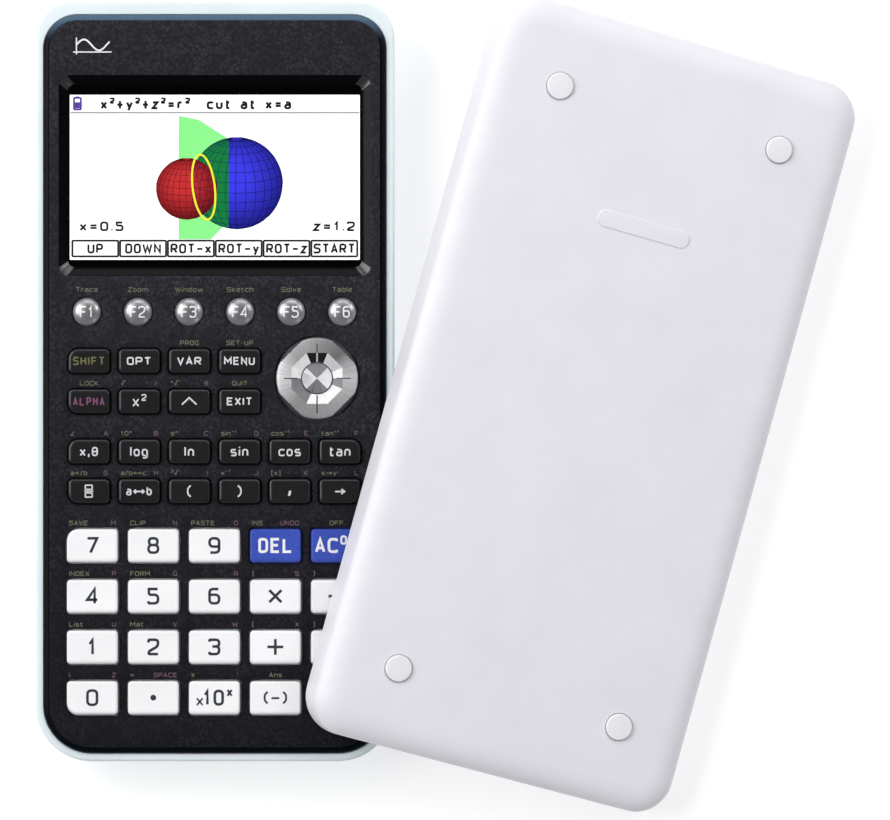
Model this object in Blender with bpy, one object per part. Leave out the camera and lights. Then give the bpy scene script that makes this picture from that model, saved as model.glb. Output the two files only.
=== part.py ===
"""A graphing calculator lying on its back, with its slide-on hard cover leaning on its keys.

The calculator's back rests at Z = 0 and the origin is at the middle of that back. X runs to the
right across the keys, Y runs up towards the display and Z points up, out of the face.
"""

import math

import bmesh
import bpy
from mathutils import Matrix

MM = 0.001
GAP = 0.3 * MM  # left between pieces that rest on each other

# Rear case: a white tray, open at the top
CASE_WIDTH = 89.0 * MM
CASE_LENGTH = 188.5 * MM
CASE_TOP_RADIUS = 9.0 * MM
CASE_FOOT_RADIUS = 14.0 * MM
CASE_FLOOR = 1.6 * MM
CASE_RIM = 1.65 * MM
CASE_SIDE = 2.6 * MM
CASE_SIDE_HEIGHT = 11.0 * MM
CASE_UNDER_EDGE = 3.0 * MM
CASE_RIM_EDGE = 0.6 * MM

# Groove along both sides of the case, in which the cover's rails run
GROOVE_Z = 8.0 * MM
GROOVE_DEPTH = 1.3 * MM

# Face plate: the black front of the case, with a skirt inside the rim
FACE_THICKNESS = 1.1 * MM
FACE_ABOVE_RIM = 1.3 * MM
FACE_SKIRT = 1.5 * MM
FACE_SKIRT_HEIGHT = 3.0 * MM
FACE_EDGE = 0.9 * MM
FACE_INSET = CASE_RIM + GAP
FACE_WIDTH = CASE_WIDTH - 2 * FACE_INSET
FACE_LENGTH = CASE_LENGTH - 2 * FACE_INSET
POST_RADIUS = 1.6 * MM
POST_TO_SIDE = 0.4 * MM
POST_SIDES = 10

# Display
DISPLAY_HEIGHT = 49.7 * MM
DISPLAY_MARGIN = 3.95 * MM
DISPLAY_CORNER = 1.5 * MM
DISPLAY_SLOPE = 1.2 * MM
PANEL_CORNER = 1.0 * MM
WINDOW_LAP = 1.5 * MM
WINDOW_THICKNESS = 0.8 * MM
PANEL_THICKNESS = 2.4 * MM
PANEL_SIDE = 0.8 * MM
PANEL_LAP = 1.0 * MM
PANEL_STEP = 0.5 * MM

# Keys
KEY_ABOVE_FACE = 1.4 * MM
KEY_CLEARANCE = 0.35 * MM
KEY_LEDGE = 0.7 * MM
KEY_LEDGE_THICKNESS = 0.5 * MM
KEY_EDGE = 0.4 * MM
FUNCTION_DIAMETER = 6.9 * MM
FUNCTION_MARGIN = 7.5 * MM
SMALL_HEIGHT = 6.0 * MM
SMALL_MARGIN = 6.4 * MM
SMALL_WEB = 2.22 * MM
SMALL_CORNER = 1.1 * MM
SMALL_WIDE_CORNER = 2.4 * MM
NUMBER_HEIGHT = 8.3 * MM
NUMBER_MARGIN = 6.05 * MM
NUMBER_WEB = 2.5 * MM
NUMBER_CORNER = 0.9 * MM
NUMBER_WIDE_CORNER = 2.8 * MM

# From the top of the face down: each row's height, and its share of the length left free above it
ROWS = (
    ("display", DISPLAY_HEIGHT, 16.5),
    ("function", FUNCTION_DIAMETER, 5.5),
    ("shift", SMALL_HEIGHT, 5.7),
    ("alpha", SMALL_HEIGHT, 4.0),
    ("angle", SMALL_HEIGHT, 6.4),
    ("fraction", SMALL_HEIGHT, 3.8),
    ("seven", NUMBER_HEIGHT, 6.4),
    ("four", NUMBER_HEIGHT, 4.25),
    ("one", NUMBER_HEIGHT, 4.25),
    ("zero", NUMBER_HEIGHT, 4.25),
)
FOOT_SHARE = 9.75

# Names of the keys in each row, from the left
KEYS = {
    "function": ("f1", "f2", "f3", "f4", "f5", "f6"),
    "shift": ("shift", "options", "variables", "menu"),
    "alpha": ("alpha", "square", "power", "exit"),
    "angle": ("angle", "log", "natural_log", "sine", "cosine", "tangent"),
    "fraction": ("fraction", "decimal", "left_bracket", "right_bracket", "comma", "store"),
    "seven": ("seven", "eight", "nine", "delete", "all_clear"),
    "four": ("four", "five", "six", "multiply", "divide"),
    "one": ("one", "two", "three", "plus", "minus"),
    "zero": ("zero", "point", "exponent", "negative", "execute"),
}

# Keys at the corners of a block have one wide corner. Corners count from the top right, to the left
TOP_RIGHT, TOP_LEFT, FOOT_LEFT, FOOT_RIGHT = range(4)
WIDE_CORNERS = {
    "shift": TOP_LEFT,
    "alpha": FOOT_LEFT,
    "angle": TOP_LEFT,
    "fraction": FOOT_LEFT,
    "tangent": TOP_RIGHT,
    "store": FOOT_RIGHT,
    "seven": TOP_LEFT,
    "zero": FOOT_LEFT,
    "all_clear": TOP_RIGHT,
    "execute": FOOT_RIGHT,
}
BLUE_KEYS = ("delete", "all_clear")

# Round rocking pad
PAD_RISE = 0.7 * MM
PAD_LEFT_SPACE = 4.0 * MM
PAD_RIGHT_MARGIN = 7.05 * MM
PAD_ROW_SPACE = 2.9 * MM
PAD_CLEARANCE = 0.5 * MM
PAD_EDGE = 0.8 * MM
PAD_WALL = 1.9 * MM
PAD_CROWN = 1.9 * MM
PAD_LIFT = 1.0 * MM
CARRIER_THICKNESS = 1.0 * MM
CARRIER_CLEARANCE = 0.7 * MM

# Circuit board and rubber keypad
BOARD_THICKNESS = 0.8 * MM
SHEET_THICKNESS = 0.6 * MM
BOARD_TO_POST = 1.2 * MM
BOARD_TO_DISPLAY = 0.9 * MM
BOARD_FOOT = 3.5 * MM
BOARD_CORNER = 2.0 * MM
DOME_HEIGHT = 1.0 * MM
DOME_SLOPE = 0.6 * MM
DOME_TO_KEY = 1.0 * MM

# Cells and battery door
CELL_DIAMETER = 10.5 * MM
CELL_LENGTH = 43.5 * MM
CELL_NUB = 3.8 * MM
CELL_NUB_HEIGHT = 1.0 * MM
CELL_SPACE = 0.7 * MM
CELL_COUNT = 4
BAY_SIDE = 1.2 * MM
BAY_SIDE_SPACE = 1.5 * MM
BAY_HEAD_SPACE = 4.0 * MM
BAY_FOOT_SPACE = 1.5 * MM
BAY_FOOT_Y = 17.0 * MM
DOOR_THICKNESS = 1.2 * MM
HOOK_WIDTH = 6.0 * MM
HOOK_REACH = 1.0 * MM
HOOK_POST = 1.2 * MM
HOOK_HEIGHT = 1.0 * MM
HOOK_SWEEP = 0.7 * MM
NOTCH_WIDTH = 14.0 * MM
NOTCH_LENGTH = 4.0 * MM
NOTCH_DEPTH = 0.8 * MM

# Slide-on cover, with a rail inside each long rim
COVER_CLEARANCE = 0.4 * MM
COVER_WALL = 2.4 * MM
COVER_ROOF = 2.2 * MM
COVER_HEADROOM = 0.5 * MM
COVER_END = 0.5 * MM
COVER_RADIUS = 9.0 * MM
COVER_EDGE = 3.6 * MM
COVER_DRAFT = 0.5 * MM
COVER_CURTAIN = 0.7 * MM
RAIL_WIDTH = 1.1 * MM
RAIL_HEIGHT = 1.2 * MM
PAD_FOOT_RADIUS = 3.3 * MM
PAD_FOOT_HEIGHT = 0.5 * MM
PAD_FOOT_SIDES = 16
FOOT_TO_SIDE = 18.4 * MM
FOOT_TO_END = 20.3 * MM

# Where the cover lies: turned clockwise, one rim on the table and the other on the keys
COVER_TURN = math.radians(15.5)
COVER_STANDOFF = 1.1 * MM
COVER_Y = -5.9 * MM

# Heights that follow from the stack, from the back up
CELL_Z = DOOR_THICKNESS + GAP
BOARD_Z = CELL_Z + CELL_DIAMETER + GAP
SHEET_Z = BOARD_Z + BOARD_THICKNESS + GAP
SHEET_TOP = SHEET_Z + SHEET_THICKNESS
LEDGE_Z = SHEET_TOP + DOME_HEIGHT + GAP
LEDGE_TOP = LEDGE_Z + KEY_LEDGE_THICKNESS
FACE_UNDER = LEDGE_TOP + GAP
FACE_TOP = FACE_UNDER + FACE_THICKNESS
CASE_HEIGHT = FACE_TOP - FACE_ABOVE_RIM
KEY_TOP = FACE_TOP + KEY_ABOVE_FACE
WINDOW_Z = FACE_UNDER - GAP - WINDOW_THICKNESS
PANEL_Z = WINDOW_Z - GAP - PANEL_THICKNESS
PAD_UNDER = SHEET_TOP + PAD_LIFT
PAD_PIVOT_Z = PAD_UNDER + CARRIER_THICKNESS / 2
POST_Z = CASE_FLOOR + GAP

# Sizes of the cover that follow from the case and keys that it slides over
COVER_INSIDE = CASE_WIDTH + 2 * COVER_CLEARANCE
COVER_WIDTH = COVER_INSIDE + 2 * COVER_WALL
COVER_LENGTH = CASE_LENGTH + COVER_END
GROOVE_HEIGHT = RAIL_HEIGHT + 2 * GAP
COVER_CEILING = KEY_TOP - GROOVE_Z - GAP + COVER_HEADROOM
COVER_DEPTH = COVER_CEILING + COVER_ROOF
COVER_LEAN = math.asin((KEY_TOP + GAP) / (COVER_WIDTH - COVER_WALL - RAIL_WIDTH))

# Sizes of the battery bay that follow from its cells
CELL_PITCH = CELL_DIAMETER + CELL_SPACE
BAY_WIDTH = CELL_PITCH * (CELL_COUNT - 1) + CELL_DIAMETER + 2 * BAY_SIDE_SPACE
BAY_LENGTH = CELL_LENGTH + CELL_NUB_HEIGHT + BAY_HEAD_SPACE + BAY_FOOT_SPACE
BAY_BOTTOM = BAY_FOOT_Y - CASE_LENGTH / 2
BAY_TOP = BAY_BOTTOM + BAY_LENGTH

COLOURS = {  # linear red, green, blue, then roughness and metallic
    "white_shell": (0.80, 0.81, 0.82, 0.38, 0.0),
    "black_face": (0.021, 0.021, 0.026, 0.55, 0.0),
    "window": (0.004, 0.004, 0.005, 0.06, 0.0),
    "display": (0.55, 0.57, 0.60, 0.35, 0.0),
    "white_key": (0.87, 0.87, 0.86, 0.32, 0.0),
    "blue_key": (0.050, 0.088, 0.42, 0.32, 0.0),
    "black_key": (0.018, 0.018, 0.018, 0.18, 0.0),
    "silver_key": (0.42, 0.42, 0.42, 0.28, 1.0),
    "board": (0.02, 0.16, 0.07, 0.50, 0.0),
    "rubber": (0.30, 0.30, 0.31, 0.80, 0.0),
    "cell": (0.30, 0.31, 0.33, 0.30, 0.7),
}


# ---------------------------------------------------------------- scene and materials


def clear_scene():
    for obj in list(bpy.data.objects):
        bpy.data.objects.remove(obj, do_unlink=True)


def add_collection(name):
    collection = bpy.data.collections.new(name)
    bpy.context.scene.collection.children.link(collection)
    return collection


def add_material(name, red, green, blue, roughness, metallic):
    material = bpy.data.materials.new(name)
    material.use_nodes = True
    shader = material.node_tree.nodes["Principled BSDF"]
    shader.inputs["Base Color"].default_value = (red, green, blue, 1.0)
    shader.inputs["Roughness"].default_value = roughness
    shader.inputs["Metallic"].default_value = metallic
    return material


clear_scene()
PARTS = add_collection("graphing_calculator")
CUTTERS = add_collection("cutters")
MATERIALS = {name: add_material(name, *values) for name, values in COLOURS.items()}


# ---------------------------------------------------------------- outlines and meshes


def rounded_outline(width, length, radii, segments=3, centre=(0.0, 0.0)):
    """Points anticlockwise round a rectangle. The four radii run from its top right corner."""
    points = []
    signs = ((1, 1), (-1, 1), (-1, -1), (1, -1))
    for corner, (across, along) in enumerate(signs):
        radius = radii[corner]
        middle_x = centre[0] + across * (width / 2 - radius)
        middle_y = centre[1] + along * (length / 2 - radius)
        for step in range(segments + 1):
            angle = math.pi / 2 * (corner + step / segments)
            points.append((middle_x + radius * math.cos(angle), middle_y + radius * math.sin(angle)))
    return points


def circle_outline(radius, segments, centre=(0.0, 0.0)):
    turns = [2 * math.pi * step / segments for step in range(segments)]
    return [(centre[0] + radius * math.cos(t), centre[1] + radius * math.sin(t)) for t in turns]


def prism(bm, points, low, high):
    """Raises a flat outline from low to high and returns its top face."""
    base = bm.faces.new([bm.verts.new((x, y, low)) for x, y in points])
    return extrude(bm, base, high - low)


def extrude(bm, face, height):
    """Extrudes a face upwards, leaves the face itself in place and returns the new one."""
    extruded = bmesh.ops.extrude_face_region(bm, geom=[face], use_keep_orig=True)["geom"]
    top = next(item for item in extruded if isinstance(item, bmesh.types.BMFace))
    bmesh.ops.translate(bm, verts=top.verts, vec=(0, 0, height))
    return top


def raise_face(bm, face, height):
    """Extrudes a face of a body upwards and returns the new one."""
    top = extrude(bm, face, height)
    bmesh.ops.delete(bm, geom=[face], context="FACES_ONLY")
    return top


def chamfer(bm, face, across, height):
    """Narrows a top face by across on every side, while it rises by height."""
    bmesh.ops.inset_region(
        bm, faces=[face], thickness=across, use_boundary=True, use_even_offset=True
    )
    bmesh.ops.translate(bm, verts=face.verts, vec=(0, 0, height))
    return face


def box(bm, low, high):
    """A box from its lowest corner to its highest."""
    size = [b - a for a, b in zip(low, high)]
    middle = [(a + b) / 2 for a, b in zip(low, high)]
    place = Matrix.Translation(middle) @ Matrix.Diagonal((*size, 1.0))
    bmesh.ops.create_cube(bm, size=1.0, matrix=place)


def cylinder(bm, centre, radius, low, high, sides, end_radius=None):
    middle = Matrix.Translation((centre[0], centre[1], (low + high) / 2))
    bmesh.ops.create_cone(
        bm,
        cap_ends=True,
        segments=sides,
        radius1=radius,
        radius2=radius if end_radius is None else end_radius,
        depth=high - low,
        matrix=middle,
    )


def add_object(name, bm, collection, material=None, location=(0.0, 0.0, 0.0)):
    bmesh.ops.recalc_face_normals(bm, faces=bm.faces)
    mesh = bpy.data.meshes.new(name)
    bm.to_mesh(mesh)
    bm.free()
    mesh.shade_smooth()
    mesh.set_sharp_from_angle(angle=math.radians(30))
    obj = bpy.data.objects.new(name, mesh)
    obj.location = location
    collection.objects.link(obj)
    if material:
        mesh.materials.append(MATERIALS[material])
    return obj


def add_part(name, bm, material, location=(0.0, 0.0, 0.0)):
    return add_object(name, bm, PARTS, material, location)


def add_cutter(name, bm):
    cutter = add_object(name, bm, CUTTERS)
    cutter.hide_render = True
    cutter.display_type = "WIRE"
    return cutter


def combine(obj, cutter, operation):
    modifier = obj.modifiers.new(cutter.name, "BOOLEAN")
    modifier.operation = operation
    modifier.object = cutter


# ---------------------------------------------------------------- layout of the face


def row_centres():
    """The Y of each row, from the top of the face down."""
    heights = sum(height for _, height, _ in ROWS)
    shares = sum(share for _, _, share in ROWS) + FOOT_SHARE
    unit = (FACE_LENGTH - heights) / shares
    edge = FACE_LENGTH / 2
    centres = {}
    for name, height, share in ROWS:
        edge -= share * unit
        centres[name] = edge - height / 2
        edge -= height
    return centres


ROW_Y = row_centres()
DISPLAY_WIDTH = FACE_WIDTH - 2 * DISPLAY_MARGIN
SMALL_WIDTH = (FACE_WIDTH - 2 * SMALL_MARGIN - 5 * SMALL_WEB) / 6
SMALL_PITCH = SMALL_WIDTH + SMALL_WEB
NUMBER_WIDTH = (FACE_WIDTH - 2 * NUMBER_MARGIN - 4 * NUMBER_WEB) / 5
NUMBER_PITCH = NUMBER_WIDTH + NUMBER_WEB
FUNCTION_PITCH = (FACE_WIDTH - 2 * FUNCTION_MARGIN - FUNCTION_DIAMETER) / 5
NUMBER_ROWS = ("seven", "four", "one", "zero")


def pad_layout():
    """Centre and radius of the rocking pad, as large as the space right of the menu key allows."""
    left = SMALL_PITCH / 2 + SMALL_WIDTH / 2 + PAD_LEFT_SPACE
    right = FACE_WIDTH / 2 - PAD_RIGHT_MARGIN
    centre_y = (ROW_Y["shift"] + ROW_Y["alpha"]) / 2 + PAD_RISE
    above = ROW_Y["function"] - FUNCTION_DIAMETER / 2 - PAD_ROW_SPACE - centre_y
    return ((left + right) / 2, centre_y), min((right - left) / 2, above)


PAD_CENTRE, PAD_RADIUS = pad_layout()


def key_layout():
    """For each key: its name, row, centre, width and height, in order from the top left."""
    keys = []
    for row, names in KEYS.items():
        if row == "function":
            first, pitch, size = -2.5, FUNCTION_PITCH, (FUNCTION_DIAMETER, FUNCTION_DIAMETER)
        elif row in NUMBER_ROWS:
            first, pitch, size = -2.0, NUMBER_PITCH, (NUMBER_WIDTH, NUMBER_HEIGHT)
        else:
            first, pitch, size = -2.5, SMALL_PITCH, (SMALL_WIDTH, SMALL_HEIGHT)
        for column, name in enumerate(names):
            keys.append((name, row, ((first + column) * pitch, ROW_Y[row]), size))
    return keys


def key_outline(name, row, size, grow, centre=(0.0, 0.0)):
    """The outline of a key, larger than its top by grow on every side."""
    width, height = (side + 2 * grow for side in size)
    if row == "function":
        return circle_outline(width / 2, 16, centre)
    tight, wide = SMALL_CORNER, SMALL_WIDE_CORNER
    if row in NUMBER_ROWS:
        tight, wide = NUMBER_CORNER, NUMBER_WIDE_CORNER
    radii = [tight + grow] * 4
    if name in WIDE_CORNERS:
        radii[WIDE_CORNERS[name]] = wide + grow
    return rounded_outline(width, height, radii, 2, centre)


def case_outline(inset):
    top = CASE_TOP_RADIUS - inset
    foot = CASE_FOOT_RADIUS - inset
    radii = (top, top, foot, foot)
    return rounded_outline(CASE_WIDTH - 2 * inset, CASE_LENGTH - 2 * inset, radii, 7)


# ---------------------------------------------------------------- case


def post_places():
    """Screw posts above the display and by both sides of the case, clear of the rows of keys."""
    corner_x = CASE_WIDTH / 2 - CASE_TOP_RADIUS
    side_x = CASE_WIDTH / 2 - CASE_SIDE - POST_TO_SIDE - POST_RADIUS
    above_display = (FACE_LENGTH / 2 + ROW_Y["display"] + DISPLAY_HEIGHT / 2) / 2
    between_rows = (ROW_Y["fraction"] - SMALL_HEIGHT / 2 + ROW_Y["seven"] + NUMBER_HEIGHT / 2) / 2
    below_display = (ROW_Y["display"] - DISPLAY_HEIGHT / 2 + ROW_Y["function"]) / 2
    rows = (
        (corner_x, above_display),
        (side_x, below_display),
        (side_x, between_rows),
        (side_x, CASE_FOOT_RADIUS - CASE_LENGTH / 2),
    )
    return [(side * x, y) for x, y in rows for side in (-1, 1)]


def tray_body():
    """The case before it is hollowed, its lower edge rounded and its rim eased."""
    bm = bmesh.new()
    steps = 3
    sections = []
    for step in range(steps + 1):
        angle = math.pi / 2 * step / steps
        inset = CASE_UNDER_EDGE * (1 - math.sin(angle))
        sections.append((case_outline(inset), CASE_UNDER_EDGE * (1 - math.cos(angle))))
    sections.append((case_outline(0.0), CASE_HEIGHT - CASE_RIM_EDGE))
    sections.append((case_outline(CASE_RIM_EDGE), CASE_HEIGHT))
    loft(bm, sections)
    return bm


def loft(bm, sections):
    """Joins outlines with equal numbers of points, each at its own height, into one closed body."""
    rings = [[bm.verts.new((x, y, z)) for x, y in points] for points, z in sections]
    for lower, upper in zip(rings, rings[1:]):
        count = len(lower)
        for n in range(count):
            bm.faces.new((lower[n - 1], lower[n], upper[n], upper[n - 1]))
    bm.faces.new(rings[0])
    bm.faces.new(rings[-1])


def make_rear_case():
    case = add_part("rear_case", tray_body(), "white_shell")

    bm = bmesh.new()
    top = prism(bm, case_outline(CASE_SIDE), CASE_FLOOR, CASE_SIDE_HEIGHT)
    chamfer(bm, top, CASE_RIM - CASE_SIDE, 0.0)
    raise_face(bm, top, CASE_HEIGHT - CASE_SIDE_HEIGHT + GAP)
    combine(case, add_cutter("case_hollow", bm), "DIFFERENCE")

    bm = bmesh.new()
    half = BAY_WIDTH / 2 + BAY_SIDE
    low = (-half, BAY_BOTTOM - BAY_SIDE, CASE_FLOOR / 2)
    box(bm, low, (half, BAY_TOP + BAY_SIDE, CELL_Z + CELL_DIAMETER))
    combine(case, add_cutter("bay_walls", bm), "UNION")

    bm = bmesh.new()
    low = (-BAY_WIDTH / 2, BAY_BOTTOM, -GAP)
    box(bm, low, (BAY_WIDTH / 2, BAY_TOP, BOARD_Z))
    combine(case, add_cutter("bay_hollow", bm), "DIFFERENCE")

    bm = bmesh.new()
    for x in hook_places():
        half = HOOK_WIDTH / 2 + GAP
        low = (x - half, BAY_TOP - GAP, CASE_FLOOR)
        box(bm, low, (x + half, BAY_TOP + BAY_SIDE + GAP, hook_top() + HOOK_SWEEP))
    combine(case, add_cutter("hook_slots", bm), "DIFFERENCE")

    bm = bmesh.new()
    low = (-NOTCH_WIDTH / 2, BAY_BOTTOM - NOTCH_LENGTH, -GAP)
    box(bm, low, (NOTCH_WIDTH / 2, BAY_BOTTOM + GAP, NOTCH_DEPTH))
    combine(case, add_cutter("finger_notch", bm), "DIFFERENCE")

    bm = bmesh.new()
    for side in (-1, 1):
        inner = side * (CASE_WIDTH / 2 - GROOVE_DEPTH)
        outer = side * (CASE_WIDTH / 2 + GAP)
        low = (min(inner, outer), -CASE_LENGTH, GROOVE_Z)
        box(bm, low, (max(inner, outer), CASE_LENGTH, GROOVE_Z + GROOVE_HEIGHT))
    combine(case, add_cutter("rail_grooves", bm), "DIFFERENCE")
    return case


def make_face_plate():
    bm = bmesh.new()
    top = prism(bm, case_outline(FACE_INSET), FACE_TOP - FACE_SKIRT_HEIGHT, FACE_TOP - FACE_EDGE)
    chamfer(bm, top, FACE_EDGE, FACE_EDGE)
    face = add_part("face_plate", bm, "black_face")

    bm = bmesh.new()
    prism(bm, case_outline(FACE_INSET + FACE_SKIRT), CASE_FLOOR, FACE_UNDER)
    combine(face, add_cutter("face_hollow", bm), "DIFFERENCE")

    bm = bmesh.new()
    for place in post_places():
        cylinder(bm, place, POST_RADIUS, POST_Z, FACE_UNDER + FACE_THICKNESS / 2, POST_SIDES)
    combine(face, add_cutter("screw_posts", bm), "UNION")

    bm = bmesh.new()
    for name, row, centre, size in key_layout():
        points = key_outline(name, row, size, KEY_CLEARANCE, centre)
        prism(bm, points, FACE_UNDER - GAP, FACE_TOP + GAP)
    points = circle_outline(PAD_RADIUS + PAD_CLEARANCE, 32, PAD_CENTRE)
    prism(bm, points, FACE_UNDER - GAP, FACE_TOP + GAP)
    combine(face, add_cutter("key_openings", bm), "DIFFERENCE")

    bm = bmesh.new()
    slope = DISPLAY_SLOPE
    reach = GAP * slope / FACE_THICKNESS
    sections = []
    for grow, z in ((-slope - reach, FACE_UNDER - GAP), (reach, FACE_TOP + GAP)):
        size = (DISPLAY_WIDTH + 2 * grow, DISPLAY_HEIGHT + 2 * grow)
        radii = [DISPLAY_CORNER + max(grow, 0.0)] * 4
        sections.append((rounded_outline(*size, radii, 3, (0.0, ROW_Y["display"])), z))
    loft(bm, sections)
    combine(face, add_cutter("display_opening", bm), "DIFFERENCE")
    return face


# ---------------------------------------------------------------- display, board and keypad


def make_display():
    width = DISPLAY_WIDTH + 2 * WINDOW_LAP
    height = DISPLAY_HEIGHT + 2 * WINDOW_LAP
    bm = bmesh.new()
    box(bm, (-width / 2, -height / 2, 0.0), (width / 2, height / 2, WINDOW_THICKNESS))
    add_part("display_window", bm, "window", (0.0, ROW_Y["display"], WINDOW_Z))

    width = DISPLAY_WIDTH - 2 * PANEL_SIDE
    height = DISPLAY_HEIGHT + 2 * PANEL_LAP
    bm = bmesh.new()
    points = rounded_outline(width, height, [PANEL_CORNER] * 4)
    top = prism(bm, points, 0.0, PANEL_THICKNESS / 2)
    chamfer(bm, top, PANEL_STEP, 0.0)
    raise_face(bm, top, PANEL_THICKNESS / 2)
    add_part("display_panel", bm, "display", (0.0, ROW_Y["display"], PANEL_Z))


def board_outline():
    """The outline shared by the circuit board and the rubber keypad on it."""
    x = CASE_WIDTH / 2 - CASE_SIDE - POST_TO_SIDE - 2 * POST_RADIUS - BOARD_TO_POST
    top = ROW_Y["display"] - DISPLAY_HEIGHT / 2 - PANEL_LAP - BOARD_TO_DISPLAY
    foot = ROW_Y["zero"] - NUMBER_HEIGHT / 2 - BOARD_FOOT
    return rounded_outline(2 * x, top - foot, [BOARD_CORNER] * 4, 3, (0.0, (top + foot) / 2))


def make_main_board():
    bm = bmesh.new()
    prism(bm, board_outline(), BOARD_Z, BOARD_Z + BOARD_THICKNESS)
    add_part("main_board", bm, "board")


def make_rubber_keypad():
    """A sheet with one dome under each key and four under the pad."""
    bm = bmesh.new()
    prism(bm, board_outline(), SHEET_Z, SHEET_TOP)
    keypad = add_part("rubber_keypad", bm, "rubber")

    bm = bmesh.new()
    root = SHEET_TOP - SHEET_THICKNESS / 2
    for _, _, centre, size in key_layout():
        radius = size[1] / 2 - DOME_TO_KEY
        cylinder(bm, centre, radius, root, LEDGE_Z - GAP, 8, radius - DOME_SLOPE)
    for n in range(4):
        angle = math.pi / 2 * n
        reach = PAD_RADIUS - PAD_WALL
        place = (
            PAD_CENTRE[0] + reach * math.cos(angle),
            PAD_CENTRE[1] + reach * math.sin(angle),
        )
        cylinder(bm, place, PAD_WALL, root, PAD_UNDER - GAP, 8, PAD_WALL - DOME_SLOPE)
    combine(keypad, add_cutter("key_domes", bm), "UNION")


# ---------------------------------------------------------------- keys


def make_key(name, row, centre, size):
    """A key cap standing on a ledge that the face plate holds down."""
    bm = bmesh.new()
    ledge = prism(bm, key_outline(name, row, size, KEY_LEDGE), 0.0, KEY_LEDGE_THICKNESS)
    chamfer(bm, ledge, KEY_LEDGE, 0.0)
    top = raise_face(bm, ledge, KEY_TOP - KEY_EDGE - LEDGE_TOP)
    chamfer(bm, top, KEY_EDGE, KEY_EDGE)
    material = "black_key"
    if row == "function":
        material = "silver_key"
    elif row in NUMBER_ROWS:
        material = "blue_key" if name in BLUE_KEYS else "white_key"
    add_part(f"key_{name}", bm, material, (*centre, LEDGE_Z))


def make_rocking_pad():
    """The round pad, hollow below, and the carrier inside it that lets it rock both ways."""
    pivot = (*PAD_CENTRE, PAD_PIVOT_Z)
    under = PAD_UNDER - PAD_PIVOT_Z
    crown = KEY_TOP - PAD_PIVOT_Z
    bm = bmesh.new()
    top = prism(bm, circle_outline(PAD_RADIUS, 32), under, crown - PAD_EDGE)
    chamfer(bm, top, PAD_EDGE, PAD_EDGE)
    cap = add_part("pad_cap", bm, "silver_key", pivot)

    bm = bmesh.new()
    inside = PAD_RADIUS - PAD_WALL
    cylinder(bm, pivot[:2], inside, PAD_UNDER - GAP, KEY_TOP - PAD_CROWN, 24)
    combine(cap, add_cutter("pad_hollow", bm), "DIFFERENCE")

    bm = bmesh.new()
    half = CARRIER_THICKNESS / 2
    cylinder(bm, (0.0, 0.0), inside - CARRIER_CLEARANCE, -half, half, 20)
    add_part("pad_carrier", bm, "rubber", pivot)


# ---------------------------------------------------------------- cells and battery door


def hook_places():
    return [side * BAY_WIDTH / 4 for side in (-1, 1)]


def hook_top():
    return CASE_FLOOR + GAP + HOOK_HEIGHT


def make_cells():
    """Four cells side by side, each with its nub towards the hinge of the door."""
    for n in range(CELL_COUNT):
        x = (n - (CELL_COUNT - 1) / 2) * CELL_PITCH
        bm = bmesh.new()
        top = prism(bm, circle_outline(CELL_DIAMETER / 2, 20), 0.0, CELL_LENGTH)
        chamfer(bm, top, (CELL_DIAMETER - CELL_NUB) / 2, 0.0)
        raise_face(bm, top, CELL_NUB_HEIGHT)
        place = (x, BAY_BOTTOM + BAY_FOOT_SPACE, CELL_Z + CELL_DIAMETER / 2)
        cell = add_part(f"cell_{n + 1}", bm, "cell", place)
        cell.rotation_euler = (-math.pi / 2, 0.0, 0.0)


def make_battery_door():
    """A flush door. Its origin is its hinge line, on the outer face of its upper edge."""
    bm = bmesh.new()
    width = BAY_WIDTH - 2 * GAP
    box(bm, (-width / 2, 2 * GAP - BAY_LENGTH, 0.0), (width / 2, 0.0, DOOR_THICKNESS))
    door = add_part("battery_door", bm, "white_shell", (0.0, BAY_TOP - GAP, 0.0))

    bm = bmesh.new()
    for x in hook_places():
        half = HOOK_WIDTH / 2
        front = BAY_TOP - GAP
        back = front - HOOK_POST
        tip = BAY_TOP + HOOK_REACH
        underside = CASE_FLOOR + GAP
        profile = (
            (back, DOOR_THICKNESS / 2),
            (front, DOOR_THICKNESS / 2),
            (front, underside),
            (tip, underside),
            (tip, hook_top()),
            (back, hook_top()),
        )
        side = bm.faces.new([bm.verts.new((x - half, y, z)) for y, z in profile])
        far = bmesh.ops.extrude_face_region(bm, geom=[side], use_keep_orig=True)["geom"]
        moved = [item for item in far if isinstance(item, bmesh.types.BMVert)]
        bmesh.ops.translate(bm, verts=moved, vec=(HOOK_WIDTH, 0.0, 0.0))
    combine(door, add_cutter("door_hooks", bm), "UNION")


# ---------------------------------------------------------------- cover


def cover_outline(inset):
    radii = [COVER_RADIUS - inset] * 4
    return rounded_outline(COVER_WIDTH - 2 * inset, COVER_LENGTH - 2 * inset, radii, 6)


def cover_place():
    """The cover's own axes: X across it, Y along it to its closed end, Z out of its roof."""
    raised = COVER_WIDTH / 2 * math.cos(COVER_LEAN) * math.cos(COVER_TURN)
    x = CASE_WIDTH / 2 + COVER_STANDOFF + raised
    z = COVER_WIDTH / 2 * math.sin(COVER_LEAN)
    turn = Matrix.Rotation(-COVER_TURN, 4, "Z") @ Matrix.Rotation(COVER_LEAN, 4, "Y")
    return Matrix.Translation((x, COVER_Y, z)) @ turn


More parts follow.
